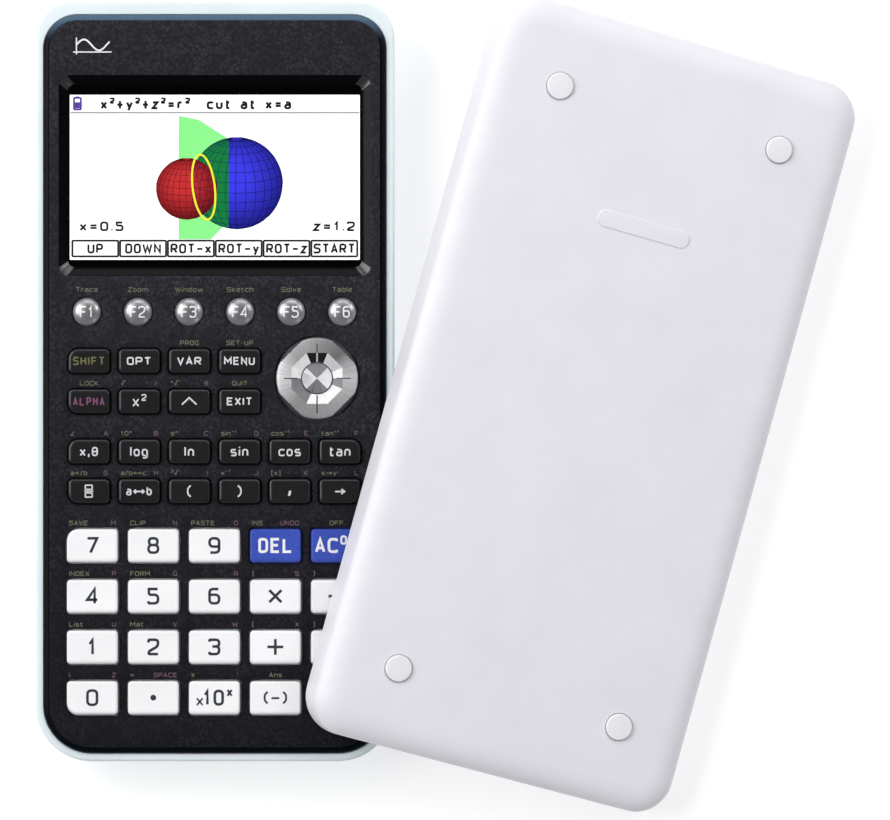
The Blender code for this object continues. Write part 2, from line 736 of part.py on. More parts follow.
def make_slide_cover():
    """A tray upside down, open below and, under a short curtain, at its lower end."""
    bm = bmesh.new()
    steps = 4
    sections = [(cover_outline(0.0), 0.0)]
    for step in range(steps + 1):
        angle = math.pi / 2 * step / steps
        inset = COVER_DRAFT + COVER_EDGE * (1 - math.cos(angle))
        height = COVER_DEPTH - COVER_EDGE * (1 - math.sin(angle))
        sections.append((cover_outline(inset), height))
    loft(bm, sections)
    cover = add_part("slide_cover", bm, "white_shell")
    place = cover_place()
    cover.matrix_world = place

    bm = bmesh.new()
    wide = COVER_INSIDE / 2
    end = COVER_LENGTH / 2
    prism(bm, cover_outline(COVER_WALL), RAIL_HEIGHT, COVER_CEILING)
    hollow = add_cutter("cover_hollow", bm)

    bm = bmesh.new()
    mouth_top = COVER_CEILING - COVER_CURTAIN
    box(bm, (-wide, -end - GAP, RAIL_HEIGHT), (wide, COVER_RADIUS - end, mouth_top))
    mouth = add_cutter("cover_mouth", bm)

    bm = bmesh.new()
    slot = wide - RAIL_WIDTH
    low = (-slot, -end - GAP, -GAP)
    box(bm, low, (slot, end - COVER_RADIUS, RAIL_HEIGHT + GAP))
    rails = add_cutter("cover_slot", bm)

    bm = bmesh.new()
    for across in (-1, 1):
        for along in (-1, 1):
            x = across * (COVER_WIDTH / 2 - FOOT_TO_SIDE)
            y = along * (end - FOOT_TO_END)
            low = COVER_DEPTH - COVER_ROOF / 2
            high = COVER_DEPTH + PAD_FOOT_HEIGHT
            cylinder(bm, (x, y), PAD_FOOT_RADIUS, low, high, PAD_FOOT_SIDES)
    feet = add_cutter("cover_feet", bm)

    for cutter, operation in (
        (hollow, "DIFFERENCE"),
        (mouth, "DIFFERENCE"),
        (rails, "DIFFERENCE"),
        (feet, "UNION"),
    ):
        cutter.matrix_world = place
        combine(cover, cutter, operation)


# ---------------------------------------------------------------- assembly

make_rear_case()
make_face_plate()
make_display()
make_main_board()
make_rubber_keypad()
make_rocking_pad()
for key in key_layout():
    make_key(*key)
make_cells()
make_battery_door()
make_slide_cover()
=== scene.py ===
"""Graphing calculator with its slide-on cover: the finished look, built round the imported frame.

Lengths are in millimetres while a mesh is made, and every mesh is scaled to metres at the end.
"""

import math

import bmesh
import bpy
from mathutils import Matrix, Vector


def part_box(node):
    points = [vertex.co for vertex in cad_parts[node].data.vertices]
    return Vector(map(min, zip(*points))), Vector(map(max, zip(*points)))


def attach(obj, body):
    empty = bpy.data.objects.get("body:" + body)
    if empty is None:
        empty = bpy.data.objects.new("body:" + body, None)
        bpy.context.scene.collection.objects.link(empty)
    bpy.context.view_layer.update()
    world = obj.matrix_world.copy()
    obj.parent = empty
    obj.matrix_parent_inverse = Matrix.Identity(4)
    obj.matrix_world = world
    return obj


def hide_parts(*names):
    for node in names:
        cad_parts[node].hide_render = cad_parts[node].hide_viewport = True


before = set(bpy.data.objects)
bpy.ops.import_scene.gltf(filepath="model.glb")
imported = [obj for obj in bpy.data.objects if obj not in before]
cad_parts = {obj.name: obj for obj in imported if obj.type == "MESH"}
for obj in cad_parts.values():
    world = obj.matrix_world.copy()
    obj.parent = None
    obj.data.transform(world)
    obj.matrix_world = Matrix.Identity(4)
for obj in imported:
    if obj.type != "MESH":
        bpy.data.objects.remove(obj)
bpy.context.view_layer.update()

TO_METRES = 0.001


# ---------------------------------------------------------------- sizes, from the frame


def node_box(node):
    """Lowest and highest corner of a CAD node, in millimetres."""
    low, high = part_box(node)
    return Vector(low) / TO_METRES, Vector(high) / TO_METRES


def middle(node):
    low, high = node_box(node)
    return (low + high) / 2


CASE_LOW, CASE_HIGH = node_box("rear_case")
CASE_WIDTH = CASE_HIGH.x - CASE_LOW.x
CASE_LENGTH = CASE_HIGH.y - CASE_LOW.y
CASE_TOP = CASE_HIGH.z
CASE_TOP_RADIUS = 9.0
CASE_FOOT_RADIUS = 14.0
CASE_FLOOR = 1.6
CASE_SIDE = 2.6
CASE_SIDE_HEIGHT = 11.0
CASE_RIM = 2.0
HEAD_RIM = 1.3  # how much wider the rim is at the top end
CASE_UNDER_EDGE = 3.0
CASE_RIM_EDGE = 0.75
GROOVE_Z = 8.0
GROOVE_HEIGHT = 1.8
GROOVE_DEPTH = 1.3

FACE_TOP = node_box("face_plate")[1].z
FACE_GAP = 0.12
FACE_INSET = CASE_RIM + FACE_GAP
FACE_THICKNESS = 1.1
FACE_SKIRT = 1.5
FACE_SKIRT_HEIGHT = 3.0
FACE_ROUND = 1.45
OPENING_EDGE = 0.1
FACE_END = CASE_LENGTH / 2 - FACE_INSET - HEAD_RIM
SCREW_RECESS = 2.5
FINGER_NOTCH = 7.0  # half the width of the notch beside the door
SOCKET_Z = 6.3
DATA_SOCKET_X = 15.0
LINK_SOCKET_X = -14.0

WINDOW_LOW, WINDOW_HIGH = node_box("display_window")
DISPLAY_MIDDLE = middle("display_window")
DISPLAY_TO_SIDE = 5.9
WINDOW_LAP = 1.5  # how far the window reaches under the face, above and below
DISPLAY_WIDTH = CASE_WIDTH - 2 * DISPLAY_TO_SIDE
DISPLAY_HEIGHT = WINDOW_HIGH.y - WINDOW_LOW.y - 2 * WINDOW_LAP
DISPLAY_SLOPE = 2.2
DISPLAY_CORNER = 2.2
SCREEN_WIDTH = 71.9
SCREEN_HEIGHT = 40.9

KEY_LEDGE = 0.7
KEY_LEDGE_HEIGHT = 0.5
KEY_CLEARANCE = 0.35
PAD_CLEARANCE = 0.5
FUNCTION_DOME = 1.15
LEGEND_WIDTH = 0.88
SKIN = 0.02  # how far print stands off the surface under it


# ---------------------------------------------------------------- colours and materials


def linear(red, green, blue):
    """An sRGB colour, from 0 to 255, as linear red, green, blue and alpha."""
    values = []
    for value in (red, green, blue):
        share = value / 255
        values.append(share / 12.92 if share <= 0.04045 else ((share + 0.055) / 1.055) ** 2.4)
    return (*values, 1.0)


def grey(value):
    return linear(value, value, value)


def faded(colour, share):
    """The colour with its red, green and blue multiplied by share."""
    return tuple(share * part for part in colour[:3]) + (1.0,)


class Look:
    """The node tree of a material or of the world, while it is built.

    Inputs are named as their sockets are, with _ for a space. Each is a constant or an output.
    """

    def __init__(self, owner):
        owner.use_nodes = True
        self.owner = owner
        self.nodes = owner.node_tree.nodes
        self.links = owner.node_tree.links

    def put(self, socket, value):
        if isinstance(value, bpy.types.NodeSocket):
            self.links.new(value, socket)
        else:
            socket.default_value = value

    def put_all(self, node, inputs):
        for name, value in inputs.items():
            self.put(node.inputs[name.replace("_", " ")], value)

    def node(self, kind, **inputs):
        node = self.nodes.new("ShaderNode" + kind)
        self.put_all(node, inputs)
        return node

    def surface(self, **inputs):
        """Fills in the material's surface, and returns the finished material."""
        self.put_all(self.nodes["Principled BSDF"], inputs)
        return self.owner

    def place(self):
        """The place in object space, in metres."""
        return self.node("TexCoord").outputs["Object"]

    def along(self, axis):
        return self.node("SeparateXYZ", Vector=self.place()).outputs[axis]

    def noise(self, scale, detail=2.0):
        """Noise in object space, with scale in cycles per metre."""
        return self.node("TexNoise", Vector=self.place(), Scale=scale, Detail=detail).outputs["Fac"]

    def gradient(self, kind, **mapping):
        """A gradient of this kind in object space, about the Location and over the Scale given."""
        spot = self.node("Mapping", Vector=self.place(), **mapping)
        spot.vector_type = "TEXTURE"
        texture = self.node("TexGradient", Vector=spot.outputs["Vector"])
        texture.gradient_type = kind
        return texture.outputs["Fac"]

    def ranged(self, source, low=0.0, high=1.0, start=0.3, stop=0.7):
        """Maps the source's start to stop onto low to high."""
        node = self.node(
            "MapRange", Value=source, From_Min=start, From_Max=stop, To_Min=low, To_Max=high
        )
        return node.outputs["Result"]

    def mix(self, share, first, second):
        node = self.nodes.new("ShaderNodeMix")
        node.data_type = "RGBA"
        self.put_all(node, {"Factor": share, "A": first, "B": second})
        return node.outputs["Result"]

    def math(self, operation, first, second):
        node = self.nodes.new("ShaderNodeMath")
        node.operation = operation
        self.put(node.inputs[0], first)
        self.put(node.inputs[1], second)
        return node.outputs["Value"]

    def bump(self, heights, distance, strength):
        """Normals of a relief, with its distance in millimetres."""
        node = self.node("Bump", Distance=distance * TO_METRES, Strength=strength, Height=heights)
        return node.outputs["Normal"]


def new_look(name):
    return Look(bpy.data.materials.new(name))


def plastic(name, colour, second=None, grain=900.0, rough=(0.3, 0.4), depth=0.01, **values):
    """Moulded plastic: a faint mottle in its colour, an uneven gloss and a fine moulded grain."""
    look = new_look(name)
    fine = look.noise(grain, 3.0)
    return look.surface(
        Base_Color=look.mix(look.ranged(look.noise(70.0, 3.0)), colour, second or faded(colour, 0.94)),
        Roughness=look.ranged(fine, *rough),
        Normal=look.bump(fine, depth, 0.6),
        **values,
    )


def metal(name, colour, rough, rings=700.0, metallic=1.0):
    """Bare or painted metal: fine streaks in its colour and gloss."""
    look = new_look(name)
    streaks = look.noise(rings, 4.0)
    return look.surface(
        Base_Color=look.mix(look.ranged(streaks), colour, faded(colour, 0.86)),
        Roughness=look.ranged(streaks, *rough),
        Normal=look.bump(streaks, 0.004, 0.4),
        Metallic=metallic,
    )


def lit(look, colour, glow=0.45):
    """A surface on the lit display: partly its own light."""
    return look.surface(
        Base_Color=colour, Emission_Color=colour, Emission_Strength=glow,
        Roughness=0.35, Specular_IOR_Level=0.1,
    )


def lit_colour(name, colour, glow=0.45):
    """A colour on the lit display, with its dots' faint grain."""
    look = new_look(name)
    colour = faded(colour, 0.7)
    return lit(look, look.mix(look.ranged(look.noise(4000.0, 0.0)), colour, faded(colour, 0.95)), glow)


def lit_ball(name, centre, radius, light, dark):
    """A plotted ball: lighter near its upper middle, darker towards its edge."""
    look = new_look(name)
    ball = look.gradient(
        "SPHERICAL",
        Location=[value * TO_METRES for value in centre],
        Scale=[radius * TO_METRES] * 3,
    )
    return lit(look, look.mix(look.ranged(ball, start=0.0, stop=0.75), dark, light))


def face_black():
    """Black face: a fine raised texture, slightly lighter towards the display."""
    look = new_look("face_black")
    height = look.ranged(look.along("Y"), start=-0.09, stop=0.02)
    base = look.mix(height, linear(6, 6, 12), linear(24, 24, 29))
    grain = look.mix(height, linear(38, 36, 43), linear(62, 59, 67))
    cells = look.node("TexVoronoi", Vector=look.place(), Scale=1150.0).outputs["Distance"]
    dots = look.ranged(cells, 1.0, 0.0, 0.15, 0.65)
    relief = look.math("MULTIPLY", dots, look.ranged(look.noise(260.0), 0.15, 0.75))
    return look.surface(
        Base_Color=look.mix(relief, base, grain),
        Roughness=look.ranged(cells, 0.42, 0.62),
        Normal=look.bump(relief, 0.06, 0.5),
        Specular_IOR_Level=0.16,
    )


def face_edge_painted_highlight():
    """The face's rounded outer edge: smooth black, with a blue tint and a paler band along its top end that
    are painted reflection.
    """
    look = new_look("face_edge_painted_highlight")
    end = FACE_END * TO_METRES
    # Painted highlight: the edge turns paler over the last millimetres below its top end.
    share = look.ranged(look.along("Y"), start=end - 0.006, stop=end - 0.001)
    fine = look.noise(900.0, 3.0)
    return look.surface(
        Base_Color=look.mix(share, linear(3, 8, 14), linear(74, 96, 114)),
        Roughness=look.ranged(fine, 0.3, 0.38),
        Normal=look.bump(fine, 0.008, 0.6),
        Specular_IOR_Level=0.06,
    )


PAD_PAINTED_SHEEN = (  # share of a turn from west, anticlockwise, and the grey of the painted reflection there
    (0.0, 214), (0.07, 186), (0.13, 150), (0.25, 158), (0.36, 172), (0.44, 190), (0.5, 208),
    (0.56, 180), (0.63, 106), (0.71, 136), (0.8, 164), (0.88, 164), (0.94, 204), (1.0, 214),
)


def pad_painted_sheen():
    """Spun metal: pale and dark fans of painted reflection round the pad's middle, with fine streaks along
    them.
    """
    look = new_look("pad_painted_sheen")
    # The fan of greys round the middle is painted reflection, not a change in the metal.
    fan = look.gradient("RADIAL", Location=middle("pad_cap") * TO_METRES)
    ramp = look.node("ValToRGB", Fac=fan)
    stops = ramp.color_ramp.elements
    for number, (spot, tone) in enumerate(PAD_PAINTED_SHEEN):
        stop = stops[number] if number < len(stops) else stops.new(spot)
        stop.position = spot
        stop.color = grey(tone)
    streaks = look.nodes.new("ShaderNodeTexNoise")
    streaks.noise_dimensions = "1D"
    look.put_all(streaks, {"Scale": 130.0, "W": fan})
    share = look.ranged(streaks.outputs["Fac"], 0.0, 0.35)
    colour = look.mix(share, ramp.outputs["Color"], linear(104, 104, 108))
    return look.surface(Base_Color=colour, Metallic=0.25, Roughness=0.36)


def cell_sleeve():
    """A cell's printed sleeve: dark, with one copper band towards its nub."""
    look = new_look("cell_sleeve")
    band = 0.031  # metres from the cell's foot
    beyond = look.math("GREATER_THAN", look.along("Y"), node_box("cell_1")[0].y * TO_METRES + band)
    return look.surface(
        Base_Color=look.mix(beyond, linear(40, 42, 46), linear(186, 120, 70)),
        Roughness=look.ranged(look.noise(500.0, 4.0), 0.22, 0.4),
        Metallic=0.6,
    )


def board_green():
    """Green solder mask with lighter traces under it."""
    look = new_look("board_green")
    traces = look.node(
        "TexBrick", Vector=look.place(), Scale=180.0, Mortar_Size=0.03,
        Color1=linear(18, 84, 48), Color2=linear(22, 92, 52), Mortar=linear(46, 130, 74),
    )
    return look.surface(
        Base_Color=traces.outputs["Color"],
        Normal=look.bump(traces.outputs["Fac"], 0.05, 0.5),
        Roughness=0.4,
    )


MATERIALS = {
    "shell": plastic("shell_white", linear(220, 230, 233), rough=(0.3, 0.42), depth=0.006),
    "cover": plastic(
        "cover_white", linear(226, 225, 230), linear(222, 221, 226), 1500.0, (0.48, 0.6), 0.012
    ),
    "cover_foot": plastic("cover_foot_white", linear(232, 231, 235), rough=(0.6, 0.7)),
    "face": face_black(),
    "edge": face_edge_painted_highlight(),
    "bezel": plastic(
        "bezel_black", linear(5, 5, 6), linear(3, 3, 4), 500.0, (0.12, 0.18), 0.001,
        Specular_IOR_Level=0.06,
    ),
    # The bezel's corners: a paler copy of the black, painted highlight.
    "bezel_corner_painted_highlight": plastic(
        "bezel_corner_painted_highlight", linear(34, 35, 38), linear(28, 29, 31), 500.0, (0.2, 0.3), 0.001
    ),
    "window": plastic(
        "window_black", grey(3), grey(2), 400.0, (0.04, 0.06), 0.0005, Specular_IOR_Level=0.2
    ),
    "white_key": plastic("key_white", grey(238), depth=0.004),
    "blue_key": plastic(
        "key_blue", linear(58, 79, 172), linear(54, 74, 165), rough=(0.26, 0.34), depth=0.004
    ),
    "black_key": plastic(
        "key_black", linear(32, 32, 33), linear(28, 28, 29), 700.0, (0.2, 0.28), 0.003,
        Specular_IOR_Level=0.3,
    ),
    "silver_key": metal("key_silver", linear(146, 146, 148), (0.24, 0.34), 900.0, 0.6),
    "pad": pad_painted_sheen(),
    "screw": metal("screw_steel", linear(120, 122, 126), (0.25, 0.4), 900.0),
    "socket": plastic("socket_black", linear(18, 18, 20), rough=(0.5, 0.6), depth=0.004),
    "socket_metal": metal("socket_metal", linear(170, 172, 176), (0.25, 0.35), 900.0),
    "cell": cell_sleeve(),
    "board": board_green(),
    "rubber": plastic(
        "keypad_rubber", linear(150, 150, 152), grain=1400.0, rough=(0.7, 0.85), depth=0.02
    ),
    "panel": plastic("panel_frame", linear(168, 170, 174), depth=0.004, Metallic=0.7),
}
# The pad's lit and shaded copies of its metal, painted light for its facets: colour, range of roughness and
# how metallic
PAD_PAINTED_LIGHT = {
    "pad_bright": ((232, 232, 232), (0.3, 0.36), 0.15),
    "pad_light": ((206, 206, 208), (0.3, 0.36), 0.2),
    "pad_grey": ((128, 128, 130), (0.34, 0.4), 0.2),
    "pad_shade": ((76, 76, 80), (0.4, 0.46), 0.2),
    "pad_dark": ((10, 10, 11), (0.4, 0.46), 0.2),
}
INKS = {
    "ink_white": (226, 226, 226),
    "ink_pale": (204, 204, 206),
    "ink_dark": (40, 42, 50),
    "ink_yellow": (108, 106, 84),
    "ink_olive": (100, 98, 60),
    "ink_red": (106, 78, 98),
    "ink_rose": (116, 66, 98),
    "ink_groove": (50, 50, 54),
}
LIT_COLOURS = {
    "lit_black": (28, 28, 34),
    "lit_grey": (120, 120, 124),
    "lit_purple": (88, 62, 150),
    "lit_green": (139, 240, 139),
    "lit_dark_green": (20, 122, 60),
    "lit_yellow": (240, 236, 60),
    "lit_red_line": (84, 10, 14),
    "lit_blue_line": (12, 12, 70),
}
for name, (colour, rough, metallic) in PAD_PAINTED_LIGHT.items():
    MATERIALS[name] = metal(name, linear(*colour), rough, metallic=metallic)
for name, colour in INKS.items():
    MATERIALS[name] = plastic(name, linear(*colour), rough=(0.4, 0.5), depth=0.002)
for name, colour in LIT_COLOURS.items():
    MATERIALS[name] = lit_colour(name, linear(*colour))
MATERIALS["lit_white"] = lit_colour("lit_white", grey(255), 0.75)


# ---------------------------------------------------------------- outlines and meshes


def rounded(width, height, radii, segments=8, centre=(0.0, 0.0)):
    """Points anticlockwise round a rectangle. The four radii run from its top right corner."""
    points = []
    for corner, (across, up) in enumerate(((1, 1), (-1, 1), (-1, -1), (1, -1))):
        radius = radii[corner]
        x = centre[0] + across * (width / 2 - radius)
        y = centre[1] + up * (height / 2 - radius)
        for step in range(segments + 1):
            turn = math.pi / 2 * (corner + step / segments)
            points.append((x + radius * math.cos(turn), y + radius * math.sin(turn)))
    return points


def circle(radius, count, centre=(0.0, 0.0)):
    turns = [2 * math.pi * step / count for step in range(count)]
    return [(centre[0] + radius * math.cos(t), centre[1] + radius * math.sin(t)) for t in turns]


def ring(bm, points, z):
    return [bm.verts.new((x, y, z)) for x, y in points]


def skin(bm, rings):
    """Joins neighbouring rings of the same number of vertices with quads."""
    for lower, upper in zip(rings, rings[1:]):
        for n in range(len(lower)):
            bm.faces.new((lower[n - 1], lower[n], upper[n], upper[n - 1]))


def loft(bm, sections):
    """Rings through (points, z) sections. Returns the first ring and the last."""
    rings = [ring(bm, points, z) for points, z in sections]
    skin(bm, rings)
    return rings[0], rings[-1]


def close_loft(bm, sections):
    """As loft, with flat ends. Returns bm."""
    for end in loft(bm, sections):
        bm.faces.new(end)
    return bm


def pocket(bm, sections):
    """As loft, with its last end closed. Returns the ring at its mouth."""
    mouth, bottom = loft(bm, sections)
    bm.faces.new(bottom)
    return mouth


def fill(bm, *rings):
    """Fills the flat area inside the first ring and outside the others."""
    edges = []
    for loop in rings:
        for n in range(len(loop)):
            pair = (loop[n - 1], loop[n])
            edges.append(bm.edges.get(pair) or bm.edges.new(pair))
    bmesh.ops.triangle_fill(bm, use_beauty=True, use_dissolve=False, edges=edges)


def quarter(steps, across, height):
    """(inset, drop) pairs round a quarter ellipse, from the wall up to the flat."""
    turns = [math.pi / 2 * step / steps for step in range(steps + 1)]
    return [(across * (1 - math.cos(turn)), height * (1 - math.sin(turn))) for turn in turns]


def mesh_of(bm, name="helper"):
    bmesh.ops.recalc_face_normals(bm, faces=bm.faces)
    mesh = bpy.data.meshes.new(name)
    bm.to_mesh(mesh)
    bm.free()
    return mesh


def solid(*sections):
    """A closed body lofted through (points, z) sections, as a mesh."""
    return mesh_of(close_loft(bmesh.new(), sections))


def block(low, high):
    points = [(low[0], low[1]), (high[0], low[1]), (high[0], high[1]), (low[0], high[1])]
    return solid((points, low[2]), (points, high[2]))


def add_object(name, data):
    obj = bpy.data.objects.new(name, data)
    bpy.context.scene.collection.objects.link(obj)
    return obj


def carve(mesh, cutters):
    """The mesh with the cutter meshes taken away. The cutters are thrown away."""
    target = add_object("carve_target", mesh)
    helpers = [target]
    for number, cutter in enumerate(cutters):
        helper = add_object(f"carve_{number}", cutter)
        helpers.append(helper)
        modifier = target.modifiers.new(helper.name, "BOOLEAN")
        modifier.operation = "DIFFERENCE"
        modifier.object = helper
    graph = bpy.context.evaluated_depsgraph_get()
    carved = bpy.data.meshes.new_from_object(target.evaluated_get(graph))
    for helper in helpers:
        bpy.data.objects.remove(helper, do_unlink=True)
    return carved


def add_mesh(name, mesh, material, body, slot, replaced=(), place=None, angle=32.0, extra=()):
    """A visible piece on a body. It is sharp over the angle, and replaces those CAD nodes."""
    if place:
        mesh.transform(place)
    mesh.transform(Matrix.Scale(TO_METRES, 4))
    mesh.shade_smooth()
    mesh.set_sharp_from_angle(angle=math.radians(angle))
    for name_of_one in (material, *extra):
        mesh.materials.append(MATERIALS[name_of_one])
    obj = add_object(name, mesh)
    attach(obj, body)
    if replaced:
        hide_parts(*replaced)
    return obj


def add_piece(name, bm, *where, **how):
    """As add_mesh, from a bmesh."""
    return add_mesh(name, mesh_of(bm, name), *where, **how)


def add_loft(name, sections, *where, **how):
    """As add_mesh, from the sections of a closed loft."""
    return add_piece(name, close_loft(bmesh.new(), sections), *where, **how)


# ---------------------------------------------------------------- print: strokes and letters


def ribbon(bm, points, width, low, high, closed=False):
    """A flat stroke along a line of (x, y) points, with mitred corners."""
    count = len(points)
    sides = []
    for n in range(count):
        here = Vector(points[n])
        before = Vector(points[n - 1]) if closed or n else None
        after = Vector(points[(n + 1) % count]) if closed or n < count - 1 else None
        first = (here - before).normalized() if before is not None else None
        second = (after - here).normalized() if after is not None else None
        first = first or second
        second = second or first
        normal = Vector((-first.y - second.y, first.x + second.x)).normalized()
        reach = width / 2 / max(normal.dot(Vector((-first.y, first.x))), 0.4)
        sides.append((here + normal * reach, here - normal * reach))
    rows = []
    for left, right in sides:
        corners = ((left, high), (right, high), (right, low), (left, low))
        rows.append([bm.verts.new((spot.x, spot.y, z)) for spot, z in corners])
    pairs = list(zip(rows, rows[1:])) + ([(rows[-1], rows[0])] if closed else [])
    for near, far in pairs:
        for n in range(4):
            bm.faces.new((near[n - 1], near[n], far[n], far[n - 1]))
    if not closed:
        bm.faces.new(rows[0])
        bm.faces.new(rows[-1])


def softened(points, radius, closed=False):
    """The same line of points with its corners rounded."""
    steps = 5
    nearest = 0.001  # closer points than this are one
    result = []
    count = len(points)
    for n in range(count):
        here = Vector(points[n])
        if not closed and n in (0, count - 1):
            result.append(tuple(here))
            continue
        before = Vector(points[n - 1]) - here
        after = Vector(points[(n + 1) % count]) - here
        reach = min(radius, before.length / 2, after.length / 2)
        start = here + before.normalized() * reach
        stop = here + after.normalized() * reach
        for step in range(steps + 1):
            t = step / steps
            spot = start * (1 - t) ** 2 + here * 2 * t * (1 - t) + stop * t**2
            if not result or (spot - Vector(result[-1])).length > nearest:
                result.append(tuple(spot))
    if closed and (Vector(result[0]) - Vector(result[-1])).length < nearest:
        result.pop()
    return result


# Each letter as lines of corners x,y, with capitals 1 high and 1 wide. A line that starts with o is
# closed, and one that starts with s keeps its corners sharp. Lines are parted by /
STROKES = {
    "0": "o 0,0 1,0 1,1 0,1",
    "1": ".1,.7 .55,1 .55,0",
    "2": "0,.8 0,1 1,1 1,.55 .06,.2 0,0 1,0",
    "3": "0,.86 0,1 1,1 1,.53 .3,.53/.3,.53 1,.53 1,0 0,0 0,.16",
    "4": ".74,0 .74,1 0,.25 1,.25",
    "5": "s .95,1 .05,1 .05,.6/.05,.6 1,.6 1,0 0,0 0,.16",
    "6": ".92,1 0,1 0,0 1,0 1,.6 .02,.6",
    "7": "0,1 1,1 .32,0",
    "8": "o .06,.53 .94,.53 .94,1 .06,1/o 0,0 1,0 1,.53 0,.53",
    "9": ".08,0 1,0 1,1 0,1 0,.42 .98,.42",
    "A": "0,0 .5,1 1,0/.2,.3 .8,.3",
    "B": "s 0,0 0,1/0,1 .92,1 .92,.53 0,.53/0,.53 1,.53 1,0 0,0",
    "C": "1,.84 1,1 0,1 0,0 1,0 1,.16",
    "D": "s 0,0 0,1/0,1 1,1 1,0 0,0",
    "E": "1,1 0,1 0,0 1,0/0,.52 .86,.52",
    "F": "1,1 0,1 0,0/0,.5 .86,.5",
    "G": "1,.84 1,1 0,1 0,0 1,0 1,.48 .55,.48",
    "H": "0,0 0,1/1,0 1,1/0,.52 1,.52",
    "I": ".5,0 .5,1",
    "J": "1,1 1,0 0,0 0,.2",
    "K": "0,0 0,1/1,1 .1,.5 1,0",
    "L": "0,1 0,0 1,0",
    "M": "0,0 0,1 .5,.4 1,1 1,0",
    "N": "0,0 0,1 1,0 1,1",
    "O": "o 0,0 1,0 1,1 0,1",
    "P": "s 0,0 0,1/0,1 1,1 1,.44 0,.44",
    "Q": "o 0,0 1,0 1,1 0,1/.6,.3 1.05,-.1",
    "R": "s 0,0 0,1/0,1 1,1 1,.46 0,.46/s .5,.46 1,0",
    "S": "1,.86 1,1 0,1 0,.53 1,.53 1,0 0,0 0,.14",
    "T": "0,1 1,1/.5,1 .5,0",
    "U": "0,1 0,0 1,0 1,1",
    "V": "0,1 .5,0 1,1",
    "W": "0,1 .25,0 .5,.8 .75,0 1,1",
    "X": "0,0 1,1/0,1 1,0",
    "Y": "0,1 .5,.45 1,1/.5,.45 .5,0",
    "Z": "0,1 1,1 0,0 1,0",
    "a": ".1,.74 1,.74 1,0/1,0 0,0 0,.42 1,.42",
    "b": "0,1.05 0,0 1,0 1,.74 0,.74",
    "c": "1,.62 1,.74 0,.74 0,0 1,0 1,.12",
    "d": "1,1.05 1,0 0,0 0,.74 1,.74",
    "e": "0,.37 1,.37 1,.74 0,.74 0,0 .95,0",
    "g": "1,0 0,0 0,.74 1,.74 1,-.28 .1,-.28",
    "h": "0,1.05 0,0/0,.74 1,.74 1,0",
    "i": ".5,0 .5,.74/.5,.94 .5,1.08",
    "k": "0,1.05 0,0/.9,.74 .1,.38 1,0",
    "l": ".5,0 .5,1.05",
    "m": "0,0 0,.74 .5,.74 .5,0/.5,.74 1,.74 1,0",
    "n": "0,0 0,.74 1,.74 1,0",
    "o": "o 0,0 1,0 1,.74 0,.74",
    "r": "0,0 0,.74 .95,.74",
    "s": ".95,.74 0,.74 0,.38 1,.38 1,0 0,0",
    "t": ".25,1 .25,0 .95,0/0,.74 .9,.74",
    "u": "0,.74 0,0 1,0 1,.74",
    "v": "0,.74 .5,0 1,.74",
    "w": "0,.74 .25,0 .5,.6 .75,0 1,.74",
    "x": "0,.74 1,0/0,0 1,.74",
    "y": "0,.74 .5,.05/1,.74 .25,-.28",
    "z": "0,.74 1,.74 0,0 1,0",
    "(": "1,1.1 0,.8 0,.2 1,-.1",
    ")": "0,1.1 1,.8 1,.2 0,-.1",
    "[": "1,1.1 0,1.1 0,-.1 1,-.1",
    "]": "0,1.1 1,1.1 1,-.1 0,-.1",
    "{": "1,1.1 .4,1.1 .4,.6 0,.5 .4,.4 .4,-.1 1,-.1",
    "}": "0,1.1 .6,1.1 .6,.6 1,.5 .6,.4 .6,-.1 0,-.1",
    ",": ".62,.2 .62,.02 .1,-.2",
    ".": ".5,-.04 .5,.12",
    "'": ".5,.75 .5,1.05",
    "-": "0,.45 1,.45",
    "=": "0,.62 1,.62/0,.28 1,.28",
    "+": "0,.45 1,.45/.5,-.05 .5,.95",
    "×": "0,0 1,.9/0,.9 1,0",
    "/": "0,-.1 1,1.1",
    "^": "0,.25 .5,.8 1,.25",
    "√": "0,.4 .2,.4 .45,0 .8,1.1 1.5,1.1",
    "→": "0,.45 1,.45/.66,.75 1,.45 .66,.15",
    "↔": "0,.45 1,.45/.8,.72 1,.45 .8,.18/.2,.72 0,.45 .2,.18",
    "θ": "o 0,0 1,0 1,1 0,1/0,.5 1,.5",
    "∠": "1,1 0,0 1,0",
    "π": "0,.74 1,.74/.25,.74 .25,0/.75,.74 .75,0",
}
LETTER_CORNER = 0.24
SUPERSCRIPT = (0.62, 0.55, 0.8)  # shares of the height, the foot's height and the stroke
SHARP = set("AEFHIKLMNTVWXYZ147kvwxyz×+-=/^→↔∠π√")
STROKE_WIDTHS = {
    "I": 0.0, "i": 0.0, "l": 0.0, ".": 0.0, ",": 0.1, "'": 0.0, "1": 0.42, "t": 0.42,
    "r": 0.42, "(": 0.24, ")": 0.24, "[": 0.24, "]": 0.24, "{": 0.3, "}": 0.3, "M": 0.86,
    "W": 1.0, "m": 0.95, "w": 0.95, "↔": 1.5, "→": 1.1, "^": 0.9, " ": 0.35, "/": 0.4,
}


def stroke_width(letter, wide):
    """How wide a letter is as a share of a capital's height, without its own stroke."""
    usual = 0.56 if letter.islower() else 0.64
    return STROKE_WIDTHS.get(letter, usual) * wide


